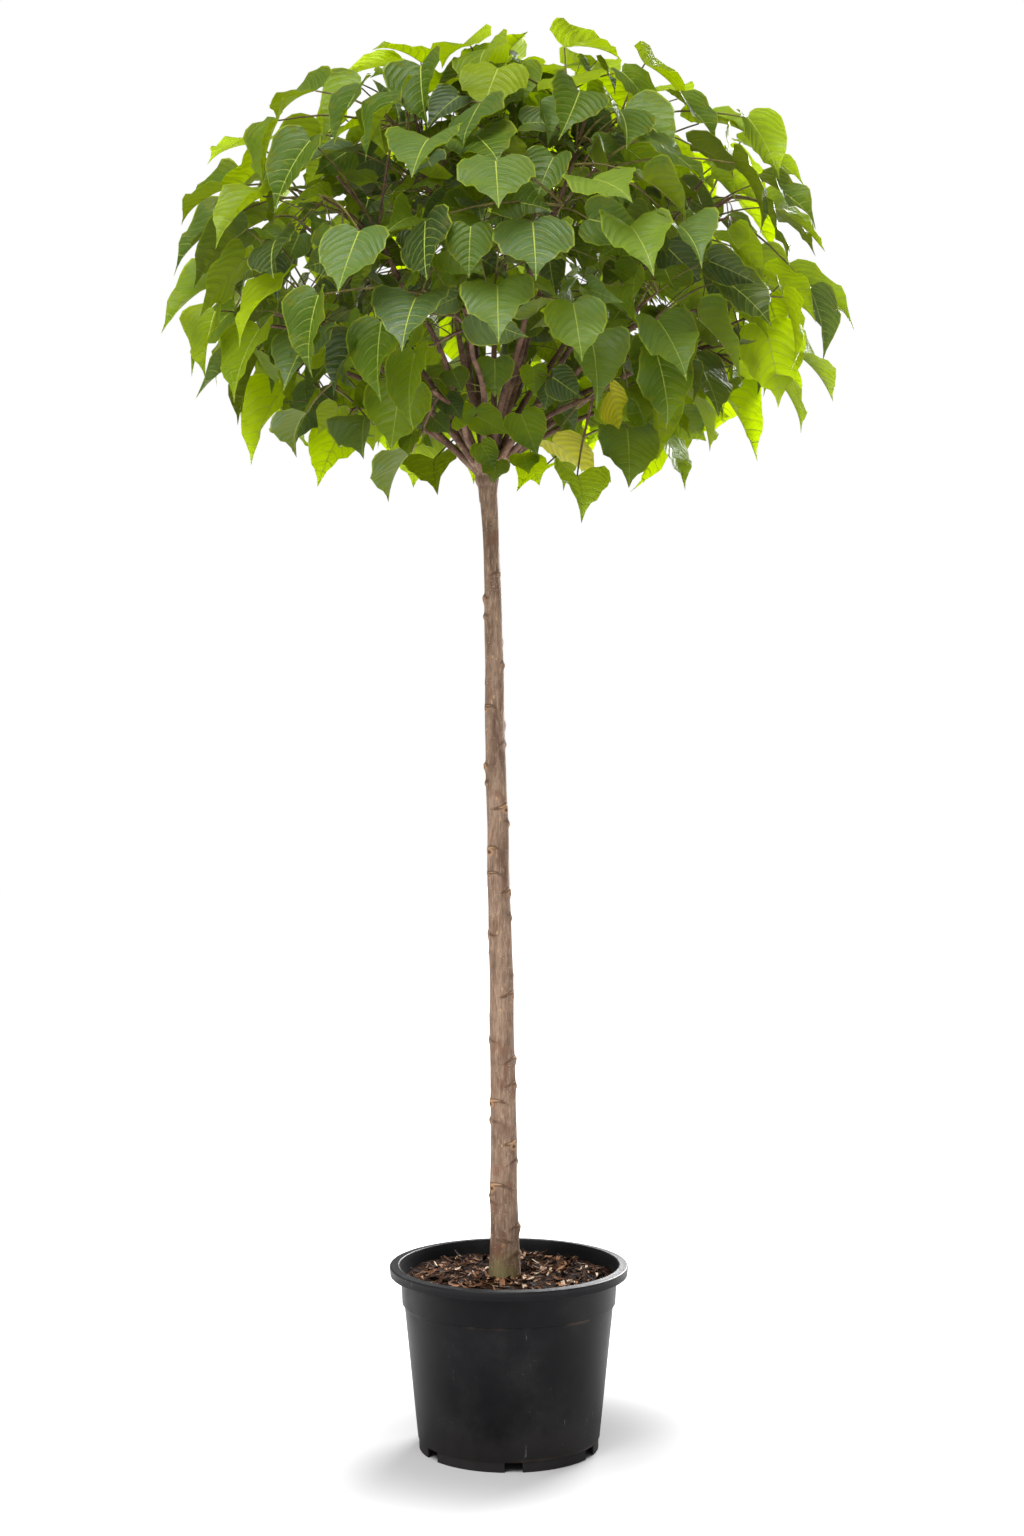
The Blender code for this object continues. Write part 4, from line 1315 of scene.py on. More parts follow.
def unfolded_place(net):
    """Where a point of a flat blade comes to lie on its own leaf."""
    u, v, edge = net.parts(net.read("blade_place", "FLOAT_VECTOR"))
    fold = net.read("fold")
    across = abs(v)
    left = v > 0.0
    lift = fold.sin() + net.read("wave") * (9 * u + 0.2 + 1.2 * left).sin()
    turn = math.tau * net.given("Waves") * (u - 0.5 * across) + net.read("phase") + 2.3 * left
    sway = EDGE_SWAY * edge * turn.sin() * across.step(0.01, 0.16)
    ripple = net.given("Edge ripple") * net.read("blade_bump") * across.step(0.02, 0.2)
    y = v * fold.cos() * net.read("wide")
    z = across * lift - net.read("droop") * v * v + sway + ripple
    twist = net.read("twist") * u.at_least(0.0)
    turned_y = y * twist.cos() - z * twist.sin()
    end = (u - HOOK_START).at_least(0.0)
    turned_z = y * twist.sin() + z * twist.cos() - net.read("arch") * u * u - net.read("hook") * end * end
    half = net.read("blade_side") * net.given("Blade thickness") * 0.5
    face = net.read("face", "FLOAT_VECTOR")
    along = net.scaled(net.read("along", "FLOAT_VECTOR"), u)
    aside = net.scaled(net.read("across", "FLOAT_VECTOR"), turned_y)
    up = net.scaled(face, turned_z)
    local = net.scaled(net.vector("ADD", net.vector("ADD", along, aside), up), net.read("size"))
    thick = net.scaled(face, half)
    return net.vector("ADD", net.vector("ADD", local, thick), net.read("seat", "FLOAT_VECTOR"))


print("inputs of the grower", len(GROWER_VALUES))

# %% Build the tree


def branch_grower():
    net = Maker("branch grower", GROWER_VALUES)
    source = net.given("Geometry")
    kind = net.read("kind")
    large = net.read("size") > net.given("Largest small")
    placed = []
    for name, chosen in (("Large blade", large), ("Small blade", 1 - large)):
        blank = net.add("GeometryNodeObjectInfo", sockets={"Object": net.given(name)}, out="Geometry")
        sockets = {"Points": source, "Selection": (0.5 - kind > 0.0) * chosen, "Instance": blank}
        placed.append(net.add("GeometryNodeInstanceOnPoints", sockets=sockets))
    leaves = net.add("GeometryNodeRealizeInstances", sockets={0: net.together(*placed)})
    leaves = net.add("GeometryNodeSetPosition", sockets={0: leaves, "Position": unfolded_place(net)})
    leaves = net.covered(leaves, upper_side)
    leaves = net.covered(leaves, under_side, net.read("underside") > 0.5)
    paths = net.add("GeometryNodeMeshToCurve", sockets={0: source})
    ring = net.add("GeometryNodeCurvePrimitiveCircle", sockets={0: net.given("Sides of a stem"), 4: 1.0})
    swept = {0: paths, 1: ring, "Scale": net.read("thick"), "Fill Caps": True}
    wood = net.add("GeometryNodeCurveToMesh", sockets=swept)
    spot = net.add("GeometryNodeInputPosition")
    waves = net.add("ShaderNodeTexNoise", sockets={"Vector": spot, "Scale": 90.0}, out="Color")
    offset = net.scaled(net.vector("SUBTRACT", waves, (0.5, 0.5, 0.5)), 2.0 * net.given("Bark roughness"))
    wood = net.add("GeometryNodeSetPosition", sockets={0: wood, "Offset": offset})
    wood = net.covered(net.covered(wood, twig_bark), stalk_skin, kind > 1.5)
    return net.finished(net.add("GeometryNodeSetShadeSmooth", sockets={0: net.together(leaves, wood)}))


grower = branch_grower()
print("grower nodes", len(grower.nodes))

# %% [markdown]
# ## Growing the branches
# For each branch a small mesh holds what the tree needs: a lone point with the leaf's directions and form
# for each leaf, and a line of points with a thickness for each stem, twig and petiole. Petioles rise a
# little from the twig before they reach the blade, so they are bent upwards on the way. Limbs and stems are
# slimmer than those of the solids, and a little crooked, as wood is that grows towards gaps of light.

# %% What a branch is grown from
FORM_VALUES = ("kind", "size", "fold", "arch", "wave", "twist", "wide", "droop", "hook", "phase", "thick")
POINT_VALUES = FORM_VALUES + ("tone", "age", "bloom")
POINT_VECTORS = ("along", "across", "face", "seat")


class Seeds:
    """The points and paths that one branch is grown from."""

    def __init__(self):
        self.points = []
        self.edges = []
        self.values = {name: [] for name in POINT_VALUES + POINT_VECTORS}

    def add(self, point, **given):
        self.points.append(tuple(point))
        for name in POINT_VALUES:
            self.values[name].append(given.get(name, 0.0))
        for name in POINT_VECTORS:
            self.values[name].append(tuple(given.get(name, (0.0, 0.0, 0.0))))

    def path(self, points, radii, kind, tone=0.5):
        first = len(self.points)
        for point, radius in zip(points, radii):
            self.add(point, kind=kind, thick=radius, tone=tone)
        self.edges += [(first + i, first + i + 1) for i in range(len(points) - 1)]

    def mesh(self, name):
        made = bpy.data.meshes.new(name)
        made.from_pydata(self.points, self.edges, [])
        for value in POINT_VALUES:
            store(made, value, "FLOAT", "POINT", self.values[value])
        for vector in POINT_VECTORS:
            store(made, vector, "FLOAT_VECTOR", "POINT", self.values[vector])
        return made


print("values kept at each point", len(POINT_VALUES), "and vectors", len(POINT_VECTORS))

# %% From a tree to a plain mesh


def linked(name, data):
    """A new object in the scene for a mesh, a light or a camera."""
    made = bpy.data.objects.new(name, data)
    bpy.context.scene.collection.objects.link(made)
    return made


def plain(thing):
    """The object with its modifiers applied to a mesh of its own."""
    bpy.context.view_layer.update()
    mesh = bpy.data.meshes.new_from_object(thing.evaluated_get(bpy.context.evaluated_depsgraph_get()))
    thing.modifiers.clear()
    thing.data = mesh
    return thing


def identifiers(tree):
    """The identifier of each input of a tree by its name."""
    return {item.name: item.identifier for item in tree.interface.items_tree if item.in_out == "INPUT"}


def run_tree(thing, tree, values):
    """The object as the tree makes it with these values, each set by its socket's identifier."""
    modifier = thing.modifiers.new(tree.name, "NODES")
    modifier.node_group = tree
    known = identifiers(tree)
    for name, value in values.items():
        modifier[known[name]] = value
    return plain(thing)


def tree_made(name, seeds, values):
    """A plain mesh object grown from seeds by the tree."""
    made = run_tree(linked(name, seeds.mesh(name + " seeds")), grower, values)
    made.data.name = name
    return made


print("the waves of a blade are set as", identifiers(grower)["Waves"])

# %% How light each leaf is painted, for youth and as painted light and shade
SAME_TIP = 0.012
AROUND_YELLOWED = 0.03
DARKEST = 0.12
RIM_PAINTED_LIGHT_AND_YOUTH = 0.50
HEIGHT_PAINTED_LIGHT_AND_YOUTH = 0.22
TONE_PLAY = 0.30
FACING = (-0.22, 0.28)
FACING_TONE = 0.46
BACKLIT = (0.04, 1.50)
BACKLIT_PAINTED_GLOW = 0.35
FRONT_TONES = (0.62, 0.30, 0.28, 0.66, 0.52, 0.05, 0.08, 0.08, 0.20, 0.40, 0.55, 0.75, 0.30, 0.60, 0.30, 0.35)
FRONT_TIPS = [wish.tip for wish in shown_leaves()[: len(FRONT_TONES)]]
YELLOWED = shown_leaves()[-1].tip
looks = random.Random(SEED + 2)


def leaf_tip(leaf):
    return leaf.base + (leaf.along - leaf.face * FORMS[leaf.form].arch) * leaf.length


def leaf_tone(leaf):
    """How light a leaf is painted, partly for youth and partly as painted light and shade."""
    tip = leaf_tip(leaf)
    middle = leaf.base.lerp(tip, 0.5)
    out = Vector((middle.x, middle.y, 0)).length / crown_radius(middle.z)
    rise = abs(middle.z - 1.60) / 0.20
    # Painted light and shade mixed with youth: leaves at the rim and above and below the crown's middle are
    # lighter, inner ones dark
    tone = DARKEST + RIM_PAINTED_LIGHT_AND_YOUTH * min(out, 1.0) ** 3 + HEIGHT_PAINTED_LIGHT_AND_YOUTH * rise + looks.gauss(0, TONE_PLAY)
    # Leaves in the middle of the near side are kept no lighter than FACING_TONE
    if middle.y < FACING[0] and abs(middle.x) < FACING[1]:
        tone = min(tone, FACING_TONE)
    # Painted backlight: low leaves at the back of the crown are made lighter
    if middle.y > BACKLIT[0] and middle.z < BACKLIT[1]:
        tone += BACKLIT_PAINTED_GLOW
    for shown, known in zip(FRONT_TIPS, FRONT_TONES):
        if (shown - tip).length < SAME_TIP:
            tone = known
    return min(max(tone, 0.0), 1.0)


print("tones read off the photograph", len(FRONT_TONES))

# %% Lines of the wood
LIMB_SLIM = 0.76
STEM_TIP_SLIM = 0.7
CROOK = 0.005
WOOD_POINTS = 60
PETIOLE_RISE = 0.07
PETIOLE_FOOT = 0.0019
PETIOLE_END = 0.0011
TWIG_ARCH = 0.05
TWIG_END = 0.0016


def petiole_path(root, leaf):
    """A petiole that rises from its twig and comes down to the blade."""
    stalk = leaf.base - root
    up = Vector((0, 0, PETIOLE_RISE * stalk.length))
    points = []
    for t in np.linspace(0, 1, 7):
        t = float(t)
        points.append(root + stalk * t + up * math.sin(math.pi * t))
    return points


def wood_line(branch):
    """The limb and the stem that goes on from it, each as a smooth line that is a little crooked."""
    straight = [Vector(p) for p in smooth_path(branch.limb + branch.stem[1:], WOOD_POINTS)]
    limb_end = min(range(WOOD_POINTS), key=lambda i: (straight[i] - branch.limb[-1]).length)
    a, b = 40 * branch.stem[-1].x, 40 * branch.stem[-1].y
    whole = []
    for i, point in enumerate(straight):
        t = i / (WOOD_POINTS - 1)
        sway = Vector((math.sin(11 * t + a), math.sin(13 * t + b), 0.5 * math.sin(15 * t + a + b)))
        whole.append(point + CROOK * math.sin(math.pi * t) * sway)
    return whole[: limb_end + 1], whole[limb_end:]


def bent_twig(stem, twig):
    """A twig from where the smooth stem passes to its end, arched a little."""
    root = point_on(stem, nearest_way(stem, twig[0]))
    bend = Vector((0, 0, TWIG_ARCH * (twig[1] - root).length))
    return [Vector(p) for p in smooth_path([root, root.lerp(twig[1], 0.5) + bend, twig[1]], 9)]


print("points of a limb and its stem", [len(line) for line in wood_line(branches[0])])

# %% Grow the branches


def near_any(point, others, distance):
    return any((point - other).length < distance for other in others)


def grown(branch):
    """The stem, twigs, petioles and leaves of one branch as one plain mesh."""
    seeds = Seeds()
    limb, stem = wood_line(branch)
    stem_radii = np.linspace(LIMB_END_RADIUS * LIMB_SLIM, STEM_END_RADIUS * STEM_TIP_SLIM, len(stem))
    seeds.path(stem, stem_radii, 1.0)
    paths = [stem, limb]
    for twig in branch.twigs:
        bent = bent_twig(stem, twig)
        seeds.path(bent, np.linspace(TWIG_RADIUS * LIMB_SLIM, TWIG_END, len(bent)), 1.0)
        paths.append(bent)
    for leaf in branch.leaves:
        near = min(paths, key=lambda p: distance_to(p, leaf.root))
        root = point_on(near, nearest_way(near, leaf.root))
        tip = leaf_tip(leaf)
        tone = leaf_tone(leaf)
        way = petiole_path(root, leaf)
        slim = min(leaf.length / LEAF_LENGTH, 1.0)
        seeds.path(way, np.linspace(PETIOLE_FOOT, PETIOLE_END, len(way)) * slim, 2.0, tone)
        form = FORMS[leaf.form]
        seeds.add(
            leaf.base,
            seat=leaf.base,
            along=leaf.along,
            across=leaf.across,
            face=leaf.face,
            size=leaf.length,
            fold=form.fold + looks.uniform(-0.05, 0.08),
            arch=form.arch,
            wave=form.wave,
            twist=form.twist,
            wide=looks.uniform(0.90, 1.04),
            droop=looks.uniform(-0.15, 0.55),
            hook=looks.uniform(-0.2, 1.2),
            phase=looks.uniform(0, math.tau),
            tone=tone,
            age=max(looks.random() ** 200 * (slim < 0.8), 0.8 * near_any(tip, [YELLOWED], AROUND_YELLOWED)),
            # Painted sheen, strongest on dark leaves and on those in front
            bloom=max(looks.random() ** 3 * (1 - tone), 0.8 * near_any(tip, FRONT_TIPS, SAME_TIP)),
        )
    return tree_made(branch.name + "_leaves", seeds, GROWER_VALUES)


grown_branches = []
for branch in branches:
    piece = grown(branch)
    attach(piece, "root")
    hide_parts(branch.name)
    grown_branches.append(piece)
sizes = [len(piece.data.polygons) for piece in grown_branches]
print("leaves", sum(len(b.leaves) for b in branches), "faces", sum(sizes), "largest branch", max(sizes))

# %% [markdown]
# ## The trunk and its limbs
# The stem is smooth grey-brown bark. Each old leaf has left a tan scar with a dark bud over it, and a fine
# ridge runs round the stem from it. The stem is one lofted skin whose radius follows a formula, and the same
# formula writes masks for the scars and ridges, so that shape and colour agree.

# %% Scars
# A scar's size: how far it stands out, half its width and half its length
SCARS = 16
SCAR_FOOT = 0.300
SCAR_STEP = 0.058
SCAR_SIZE = (0.0030, 0.0085, 0.0065)
LOW_SCARS = (0.262, 0.281, 0.317, 0.345)
Scar = namedtuple("Scar", "height turn size")


def trunk_scars():
    """The solid's scars, and smaller ones between them and down to the soil."""
    chance = random.Random(SEED + 3)
    scars = []
    for i in range(SCARS):
        scars.append(Scar(SCAR_FOOT + SCAR_STEP * i, math.pi * i + 0.75 * math.sin(2.3 * i), 1.0))
    for i in range(SCARS + 1):
        height = SCAR_FOOT + SCAR_STEP * (i - 0.5) + chance.uniform(-0.008, 0.008)
        scars.append(Scar(height, math.pi * i + chance.uniform(-0.6, 0.6), chance.uniform(0.45, 0.8)))
    for height in LOW_SCARS:
        scars.append(Scar(height, chance.uniform(0, math.tau), 0.5))
    return scars


print("scars", len(trunk_scars()))

# %% Stem shape
STEM_SIDES = 44
STEM_STEP = 0.0028
BUD_HEIGHT = 0.0016
BUD_SIZE = (0.0028, 0.0026)
RIDGE_HEIGHT = 0.0006
RIDGE_WIDTH = 0.0024
RIDGE_BEND = 0.006


def wrapped(angle):
    """An angle brought between minus half a turn and half a turn."""
    return (angle + math.pi) % math.tau - math.pi


def stem_surface():
    """Points of the stem's skin row by row, with the scar and ridge masks at each."""
    foot, head = TRUNK[0][0], TRUNK[-1][0]
    rows = int((head - foot) / STEM_STEP)
    z = np.linspace(foot, head, rows)[:, None]
    spine = smooth_path(TRUNK, 400)
    offset, radius = (np.interp(z, spine[:, 0], spine[:, k]) for k in (1, 2))
    turn = np.linspace(0, math.tau, STEM_SIDES, endpoint=False)[None, :]
    scar, ridge, lift = (np.zeros((rows, STEM_SIDES)) for _ in range(3))
    depth, width, length = SCAR_SIZE
    for found in trunk_scars():
        from_scar = wrapped(turn - found.turn)
        across = from_scar * radius
        up = z - found.height
        spread = (across / (width * found.size)) ** 2 + (up / (length * found.size)) ** 2
        mark = np.exp(-1.6 * spread)
        scar = np.maximum(scar, mark)
        lift += depth * found.size * 0.8 * mark
        bud = (across / BUD_SIZE[0]) ** 2 + ((up - length * found.size * 0.7) / BUD_SIZE[1]) ** 2
        lift += BUD_HEIGHT * np.exp(-bud)
        bent = up - RIDGE_BEND * np.cos(from_scar) + 0.0015 * np.sin(3 * turn + found.turn)
        fading = np.exp(-((from_scar / (1.1 + 0.5 * math.sin(9 * found.turn))) ** 2))
        line = np.exp(-((bent / RIDGE_WIDTH) ** 2)) * (0.45 + 0.55 * found.size) * fading
        ridge = np.maximum(ridge, line)
        lift += RIDGE_HEIGHT * line
    wobble = 0.0004 * np.sin(3 * turn + 31 * z) + 0.0003 * np.sin(5 * turn - 57 * z)
    away = radius + lift + wobble
    x = offset + away * np.cos(turn)
    y = away * np.sin(turn)
    return np.stack((x, y, np.broadcast_to(z, away.shape)), axis=-1), scar, ridge


surface, scar_mask, ridge_mask = stem_surface()
print("rings of the stem", len(surface))

# %% Skin of the stem


def ring_bands(first, rings, sides, widening=False):
    """The faces between rings of points that lie one over another, or one round another."""
    bands = []
    for i in range(rings - 1):
        a = first + i * sides
        b = a + sides
        for k in range(sides):
            n = (k + 1) % sides
            bands.append((a + k, b + k, b + n, a + n) if widening else (a + k, a + n, b + n, b + k))
    return bands


def lofted(name, rows, masks):
    """A closed skin over rings of points, capped at both ends, with a mask kept at each point."""
    count, sides = rows.shape[:2]
    caps = [tuple(range(sides))[::-1], tuple((count - 1) * sides + k for k in range(sides))]
    mesh = bpy.data.meshes.new(name)
    mesh.from_pydata(rows.reshape(-1, 3).tolist(), [], ring_bands(0, count, sides) + caps)
    for mask, values in masks.items():
        store(mesh, mask, "FLOAT", "POINT", values)
    mesh.shade_smooth()
    return linked(name, mesh)


stem_piece = lofted("stem skin", surface, {"scar": scar_mask, "ridge": ridge_mask})
print("stem faces", len(stem_piece.data.polygons))

# %% Bark of the stem


def stem_finish():
    net = Finish("grey-brown bark")
    scar = net.attribute("scar")
    ridge = net.attribute("ridge")
    x, y, z = net.parts(net.place)
    drawn = net.joined(x, y, z * 0.16)
    grain = net.noise(drawn, 420.0, 4.0, 0.62)
    streaks = net.noise(drawn, 95.0, 3.0, 0.6)
    patches = net.noise(net.place, 26.0, 4.0, 0.6)
    cells = net.cells(net.joined(x, y, z * 2.2), 150.0)
    pores = cells.step(0.26, 0.12) * net.noise(net.place, 60.0, 2.0).step(0.46, 0.60)
    lit = (0.35 * patches + 0.65 * streaks).step(0.30, 0.70)
    blotch = net.noise(net.joined(x, y, z * 0.5), 70.0, 2.0).step(0.56, 0.66)
    colour = net.mixed(lit, linear(96, 72, 57), linear(150, 125, 105))
    colour = net.mixed(0.50 * grain.step(0.50, 0.70), colour, linear(182, 157, 134))
    colour = net.mixed(0.55 * grain.step(0.46, 0.30), colour, linear(72, 53, 41))
    colour = net.mixed(0.45 * blotch, colour, linear(112, 72, 52))
    colour = net.mixed(0.70 * pores, colour, linear(194, 170, 144))
    colour = net.mixed(0.80 * ridge.step(0.10, 0.45), colour, linear(78, 54, 37))
    colour = net.mixed(0.80 * ridge.step(0.45, 0.80), colour, linear(176, 142, 108))
    colour = net.mixed(0.80 * scar.step(0.22, 0.50), colour, linear(162, 124, 90))
    colour = net.mixed(0.90 * scar.step(0.62, 0.86), colour, linear(66, 44, 31))
    nicks = net.cells(net.joined(x, y, z * 0.45), 110.0).step(0.17, 0.10) * patches.step(0.48, 0.56)
    colour = net.mixed(0.75 * nicks, colour, linear(186, 150, 112))
    moss = z.step(0.285, 0.238) * (patches + 0.5 * streaks).step(0.48, 0.95)
    colour = net.mixed(0.75 * moss, colour, linear(100, 102, 50))
    rough = 0.70 + 0.25 * (grain - 0.5)
    bump = net.bump(grain + 0.8 * streaks + 1.4 * pores + 0.6 * ridge, 0.7, 0.0012)
    return net.paint({"Specular IOR Level": 0.25, "Base Color": colour, "Roughness": rough, "Normal": bump})


stem_bark = stem_finish()
stem_piece.data.materials.append(stem_bark)
print("stem finish", stem_bark.name)

# %% [markdown]
# The limbs leave the graft like the ribs of a fan, and bark has grown over their feet. Their swept shapes
# are joined with the top of the stem and a knob, melted together by a voxel remesh, and smoothed, which
# rounds the crotches as growth does.

# %% Limbs
GRAFT_REACH = 0.050
LIMB_SWELL = 0.0086
SWELL_LENGTH = 0.035
FOOT_COVER = 1.04


def limb_radius(way, whole):
    """A limb's radius this way along it: swollen at the foot, as thick as its stem at the end."""
    swell = (LIMB_SWELL - LIMB_FOOT_RADIUS) * math.exp(-way / SWELL_LENGTH)
    return LIMB_SLIM * (swell + LIMB_FOOT_RADIUS + (LIMB_END_RADIUS - LIMB_FOOT_RADIUS) * way / whole)


def limb_points(branch):
    """A limb's smooth path with its radii."""
    path, _ = wood_line(branch)
    ways = np.concatenate(([0.0], np.cumsum([(b - a).length for a, b in zip(path, path[1:])])))
    return path, [limb_radius(way, ways[-1]) for way in ways]


limb_seeds = Seeds()
foot_seeds = Seeds()
for branch in branches:
    path, radii = limb_points(branch)
    limb_seeds.path(path, radii, 1.0)
    low = [i for i, p in enumerate(path) if (p - HEAD).length < GRAFT_REACH]
    foot_seeds.path([path[i] for i in low], [radii[i] * FOOT_COVER for i in low], 1.0)
limb_values = {**GROWER_VALUES, "Sides of a stem": 10, "Bark roughness": 0.0007}
limbs = tree_made("limbs", limb_seeds, limb_values)
feet = tree_made("limb feet", foot_seeds, {**limb_values, "Bark roughness": 0.0})
print("limb faces", len(limbs.data.polygons), "feet", len(feet.data.polygons))

# %% Graft
GRAFT_VOXEL = 0.0016
KNOB_RADIUS = 0.0168
NECK_RADII = (0.0118, 0.0150)
NECK_HEIGHT = 0.036
NECK_MIDDLE = (-0.0290, 0, 1.322)


def joined(name, objects):
    """One mesh object of several, with their attributes and materials."""
    chosen = {"active_object": objects[0], "selected_editable_objects": objects, "selected_objects": objects}
    with bpy.context.temp_override(**chosen):
        bpy.ops.object.join()
    objects[0].name = name
    objects[0].data.name = name
    return objects[0]


bpy.ops.mesh.primitive_uv_sphere_add(segments=24, ring_count=14, radius=KNOB_RADIUS, location=HEAD)
knob = bpy.context.object
bpy.ops.object.transform_apply(location=True)
below, above = NECK_RADII
shape = {"vertices": 32, "radius1": below, "radius2": above, "depth": NECK_HEIGHT}
bpy.ops.mesh.primitive_cone_add(location=NECK_MIDDLE, **shape)
neck = bpy.context.object
bpy.ops.object.transform_apply(location=True)
graft = joined("graft", [feet, knob, neck])
melt = graft.modifiers.new("melt", "REMESH")
melt.mode = "VOXEL"
melt.voxel_size = GRAFT_VOXEL
ease = graft.modifiers.new("ease", "SMOOTH")
ease.iterations = 6
ease.factor = 0.5
plain(graft)
graft.data.shade_smooth()
graft.data.materials.clear()
graft.data.materials.append(stem_bark)
trunk_piece = joined("trunk_bark", [stem_piece, graft, limbs])
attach(trunk_piece, "root")
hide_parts("trunk")
print("trunk faces", len(trunk_piece.data.polygons))

# %% [markdown]
# ## The pot
# A nursery pot is one thin moulding: a rolled rim, a collar, a step, a tapered body and a foot ring with
# notches. It is turned from a profile, and its notches are cut with blocks whose upper edges are rounded.

# %% Pot sizes
POT_SIDES = 144
POT_HEIGHT = 0.252
WALL = 0.0025
RIM_RADIUS = 0.165
RIM_HEIGHT = 0.014
MOUTH_RADIUS = 0.1515
COLLAR_TOP_RADIUS = 0.1495
COLLAR_FOOT_RADIUS = 0.1475
COLLAR_FOOT_HEIGHT = 0.199
BODY_TOP_RADIUS = 0.1445
BODY_FOOT_RADIUS = 0.1257
FOOT_RADIUS = 0.124
FOOT_HEIGHT = 0.015
FLOOR_THICKNESS = 0.003
NOTCHES = 6
NOTCH_WIDTH = 0.0245
NOTCH_HEIGHT = 0.0132
NOTCH_DEPTH = 0.020
NOTCH_TURN = math.radians(3)
NOTCH_CORNER = 0.0018
MOUTH_ROUND = (0.0018, 0.0022)
LIP_ROUND = (0.0028, 0.0020)
MOUTH_ANGLES = (180, 157.5, 135, 112.5, 90, 67.5)
LIP_ANGLES = (90, 75, 60, 45, 30, 15, 0)
print("the pot is", 2 * RIM_RADIUS, "m across and", POT_HEIGHT, "m high")

# %% Pot profile


def body_radius(height):
    """The pot's outer radius below the collar."""
    share = (height - FOOT_HEIGHT) / (COLLAR_FOOT_HEIGHT - FOOT_HEIGHT)
    return BODY_FOOT_RADIUS + (BODY_TOP_RADIUS - BODY_FOOT_RADIUS) * share


def corner(radius, height, rounding, angles):
    """Points of a rounded corner of the profile, by its middle, its two half sizes and its angles."""
    wide, high = rounding
    return [(radius + wide * math.cos(a), height + high * math.sin(a)) for a in map(math.radians, angles)]


def pot_profile():
    """Radius and height from the middle of the floor up the inside, over the rim and down the outside."""
    floor = FOOT_HEIGHT + FLOOR_THICKNESS
    rim_foot = POT_HEIGHT - RIM_HEIGHT
    mouth = corner(MOUTH_RADIUS + MOUTH_ROUND[0], POT_HEIGHT - MOUTH_ROUND[1], MOUTH_ROUND, MOUTH_ANGLES)
    lip = corner(RIM_RADIUS - LIP_ROUND[0], POT_HEIGHT - LIP_ROUND[0], LIP_ROUND, LIP_ANGLES)
    return [
        (0.0, floor),
        (body_radius(floor) - WALL - 0.002, floor),
        (body_radius(floor) - WALL, floor + 0.002),
        (BODY_TOP_RADIUS - WALL, COLLAR_FOOT_HEIGHT - 0.004),
        (COLLAR_FOOT_RADIUS - WALL, COLLAR_FOOT_HEIGHT + 0.002),
        (COLLAR_TOP_RADIUS - WALL, rim_foot),
        *mouth,
        *lip,
        (RIM_RADIUS - 0.0002, POT_HEIGHT - 0.0062),
        (RIM_RADIUS - 0.0008, rim_foot + 0.0008),
        (RIM_RADIUS - 0.0018, rim_foot),
        (COLLAR_TOP_RADIUS + 0.0008, rim_foot - 0.0004),
        (COLLAR_TOP_RADIUS, rim_foot - 0.0014),
        (COLLAR_FOOT_RADIUS + 0.0001, COLLAR_FOOT_HEIGHT + 0.0008),
        (COLLAR_FOOT_RADIUS - 0.0006, COLLAR_FOOT_HEIGHT),
        (BODY_TOP_RADIUS + 0.0004, COLLAR_FOOT_HEIGHT - 0.0012),
        (BODY_TOP_RADIUS, COLLAR_FOOT_HEIGHT - 0.0024),
        (BODY_FOOT_RADIUS, FOOT_HEIGHT + 0.0010),
        (FOOT_RADIUS, FOOT_HEIGHT - 0.0010),
        (FOOT_RADIUS, 0.0006),
        (FOOT_RADIUS - 0.0006, 0.0),
        (FOOT_RADIUS - WALL, 0.0),
        (FOOT_RADIUS - WALL, FOOT_HEIGHT),
        (0.0, FOOT_HEIGHT),
    ]


print("points of the pot's profile", len(pot_profile()))

# %% Pot plastic


def plastic_finish():
    """Black plastic from a store yard: satin, scuffed, dusty in places and stained where water dries."""
    net = Finish("nursery plastic")
    x, y, z = net.parts(net.place)
    tall = net.noise(net.joined(x, y, z * 0.12), 180.0, 4.0, 0.65)
    flat = net.noise(net.joined(x * 0.25, y * 0.25, z), 520.0, 3.0, 0.6)
    cloud = net.noise(net.place, 11.0, 4.0, 0.6)
    grit = net.noise(net.place, 900.0, 2.0, 0.5)
    scratch = tall.step(0.66, 0.74) * cloud.step(0.42, 0.62)
    scuff = flat.step(0.66, 0.76) * cloud.step(0.50, 0.66)
    dust = (cloud + 0.35 * grit + 0.5 * z.step(0.09, 0.0)).step(0.66, 1.05)
    under_collar = z.step(0.1935, 0.1975) * z.step(0.2000, 0.1984)
    seam = z.step(0.0125, 0.0150) * z.step(0.0180, 0.0160)
    stain = (under_collar + seam) * cloud.step(0.45, 0.66)
    colour = net.mixed(cloud.step(0.3, 0.7), linear(17, 17, 19), linear(27, 27, 29))
    colour = net.mixed(0.62 * scratch + 0.46 * scuff, colour, linear(112, 113, 116))
    colour = net.mixed(0.07 * dust, colour, linear(118, 112, 104))
    colour = net.mixed(0.30 * stain, colour, linear(104, 84, 66))
    rough = 0.44 + 0.12 * (cloud - 0.5) + 0.16 * dust + 0.10 * scratch
    bump = net.bump(0.5 * grit - scratch - 0.5 * scuff + 0.15 * flat, 0.25, 0.0004)
    net.paint({"Specular IOR Level": 0.08, "Base Color": colour, "Roughness": rough, "Normal": bump})
    return net.paint({"Coat Weight": 0.13 * z.step(0.243, 0.248), "Coat Roughness": 0.40})


pot_plastic = plastic_finish()
print("pot finish", pot_plastic.name)

# %% Turn the pot and cut its notches


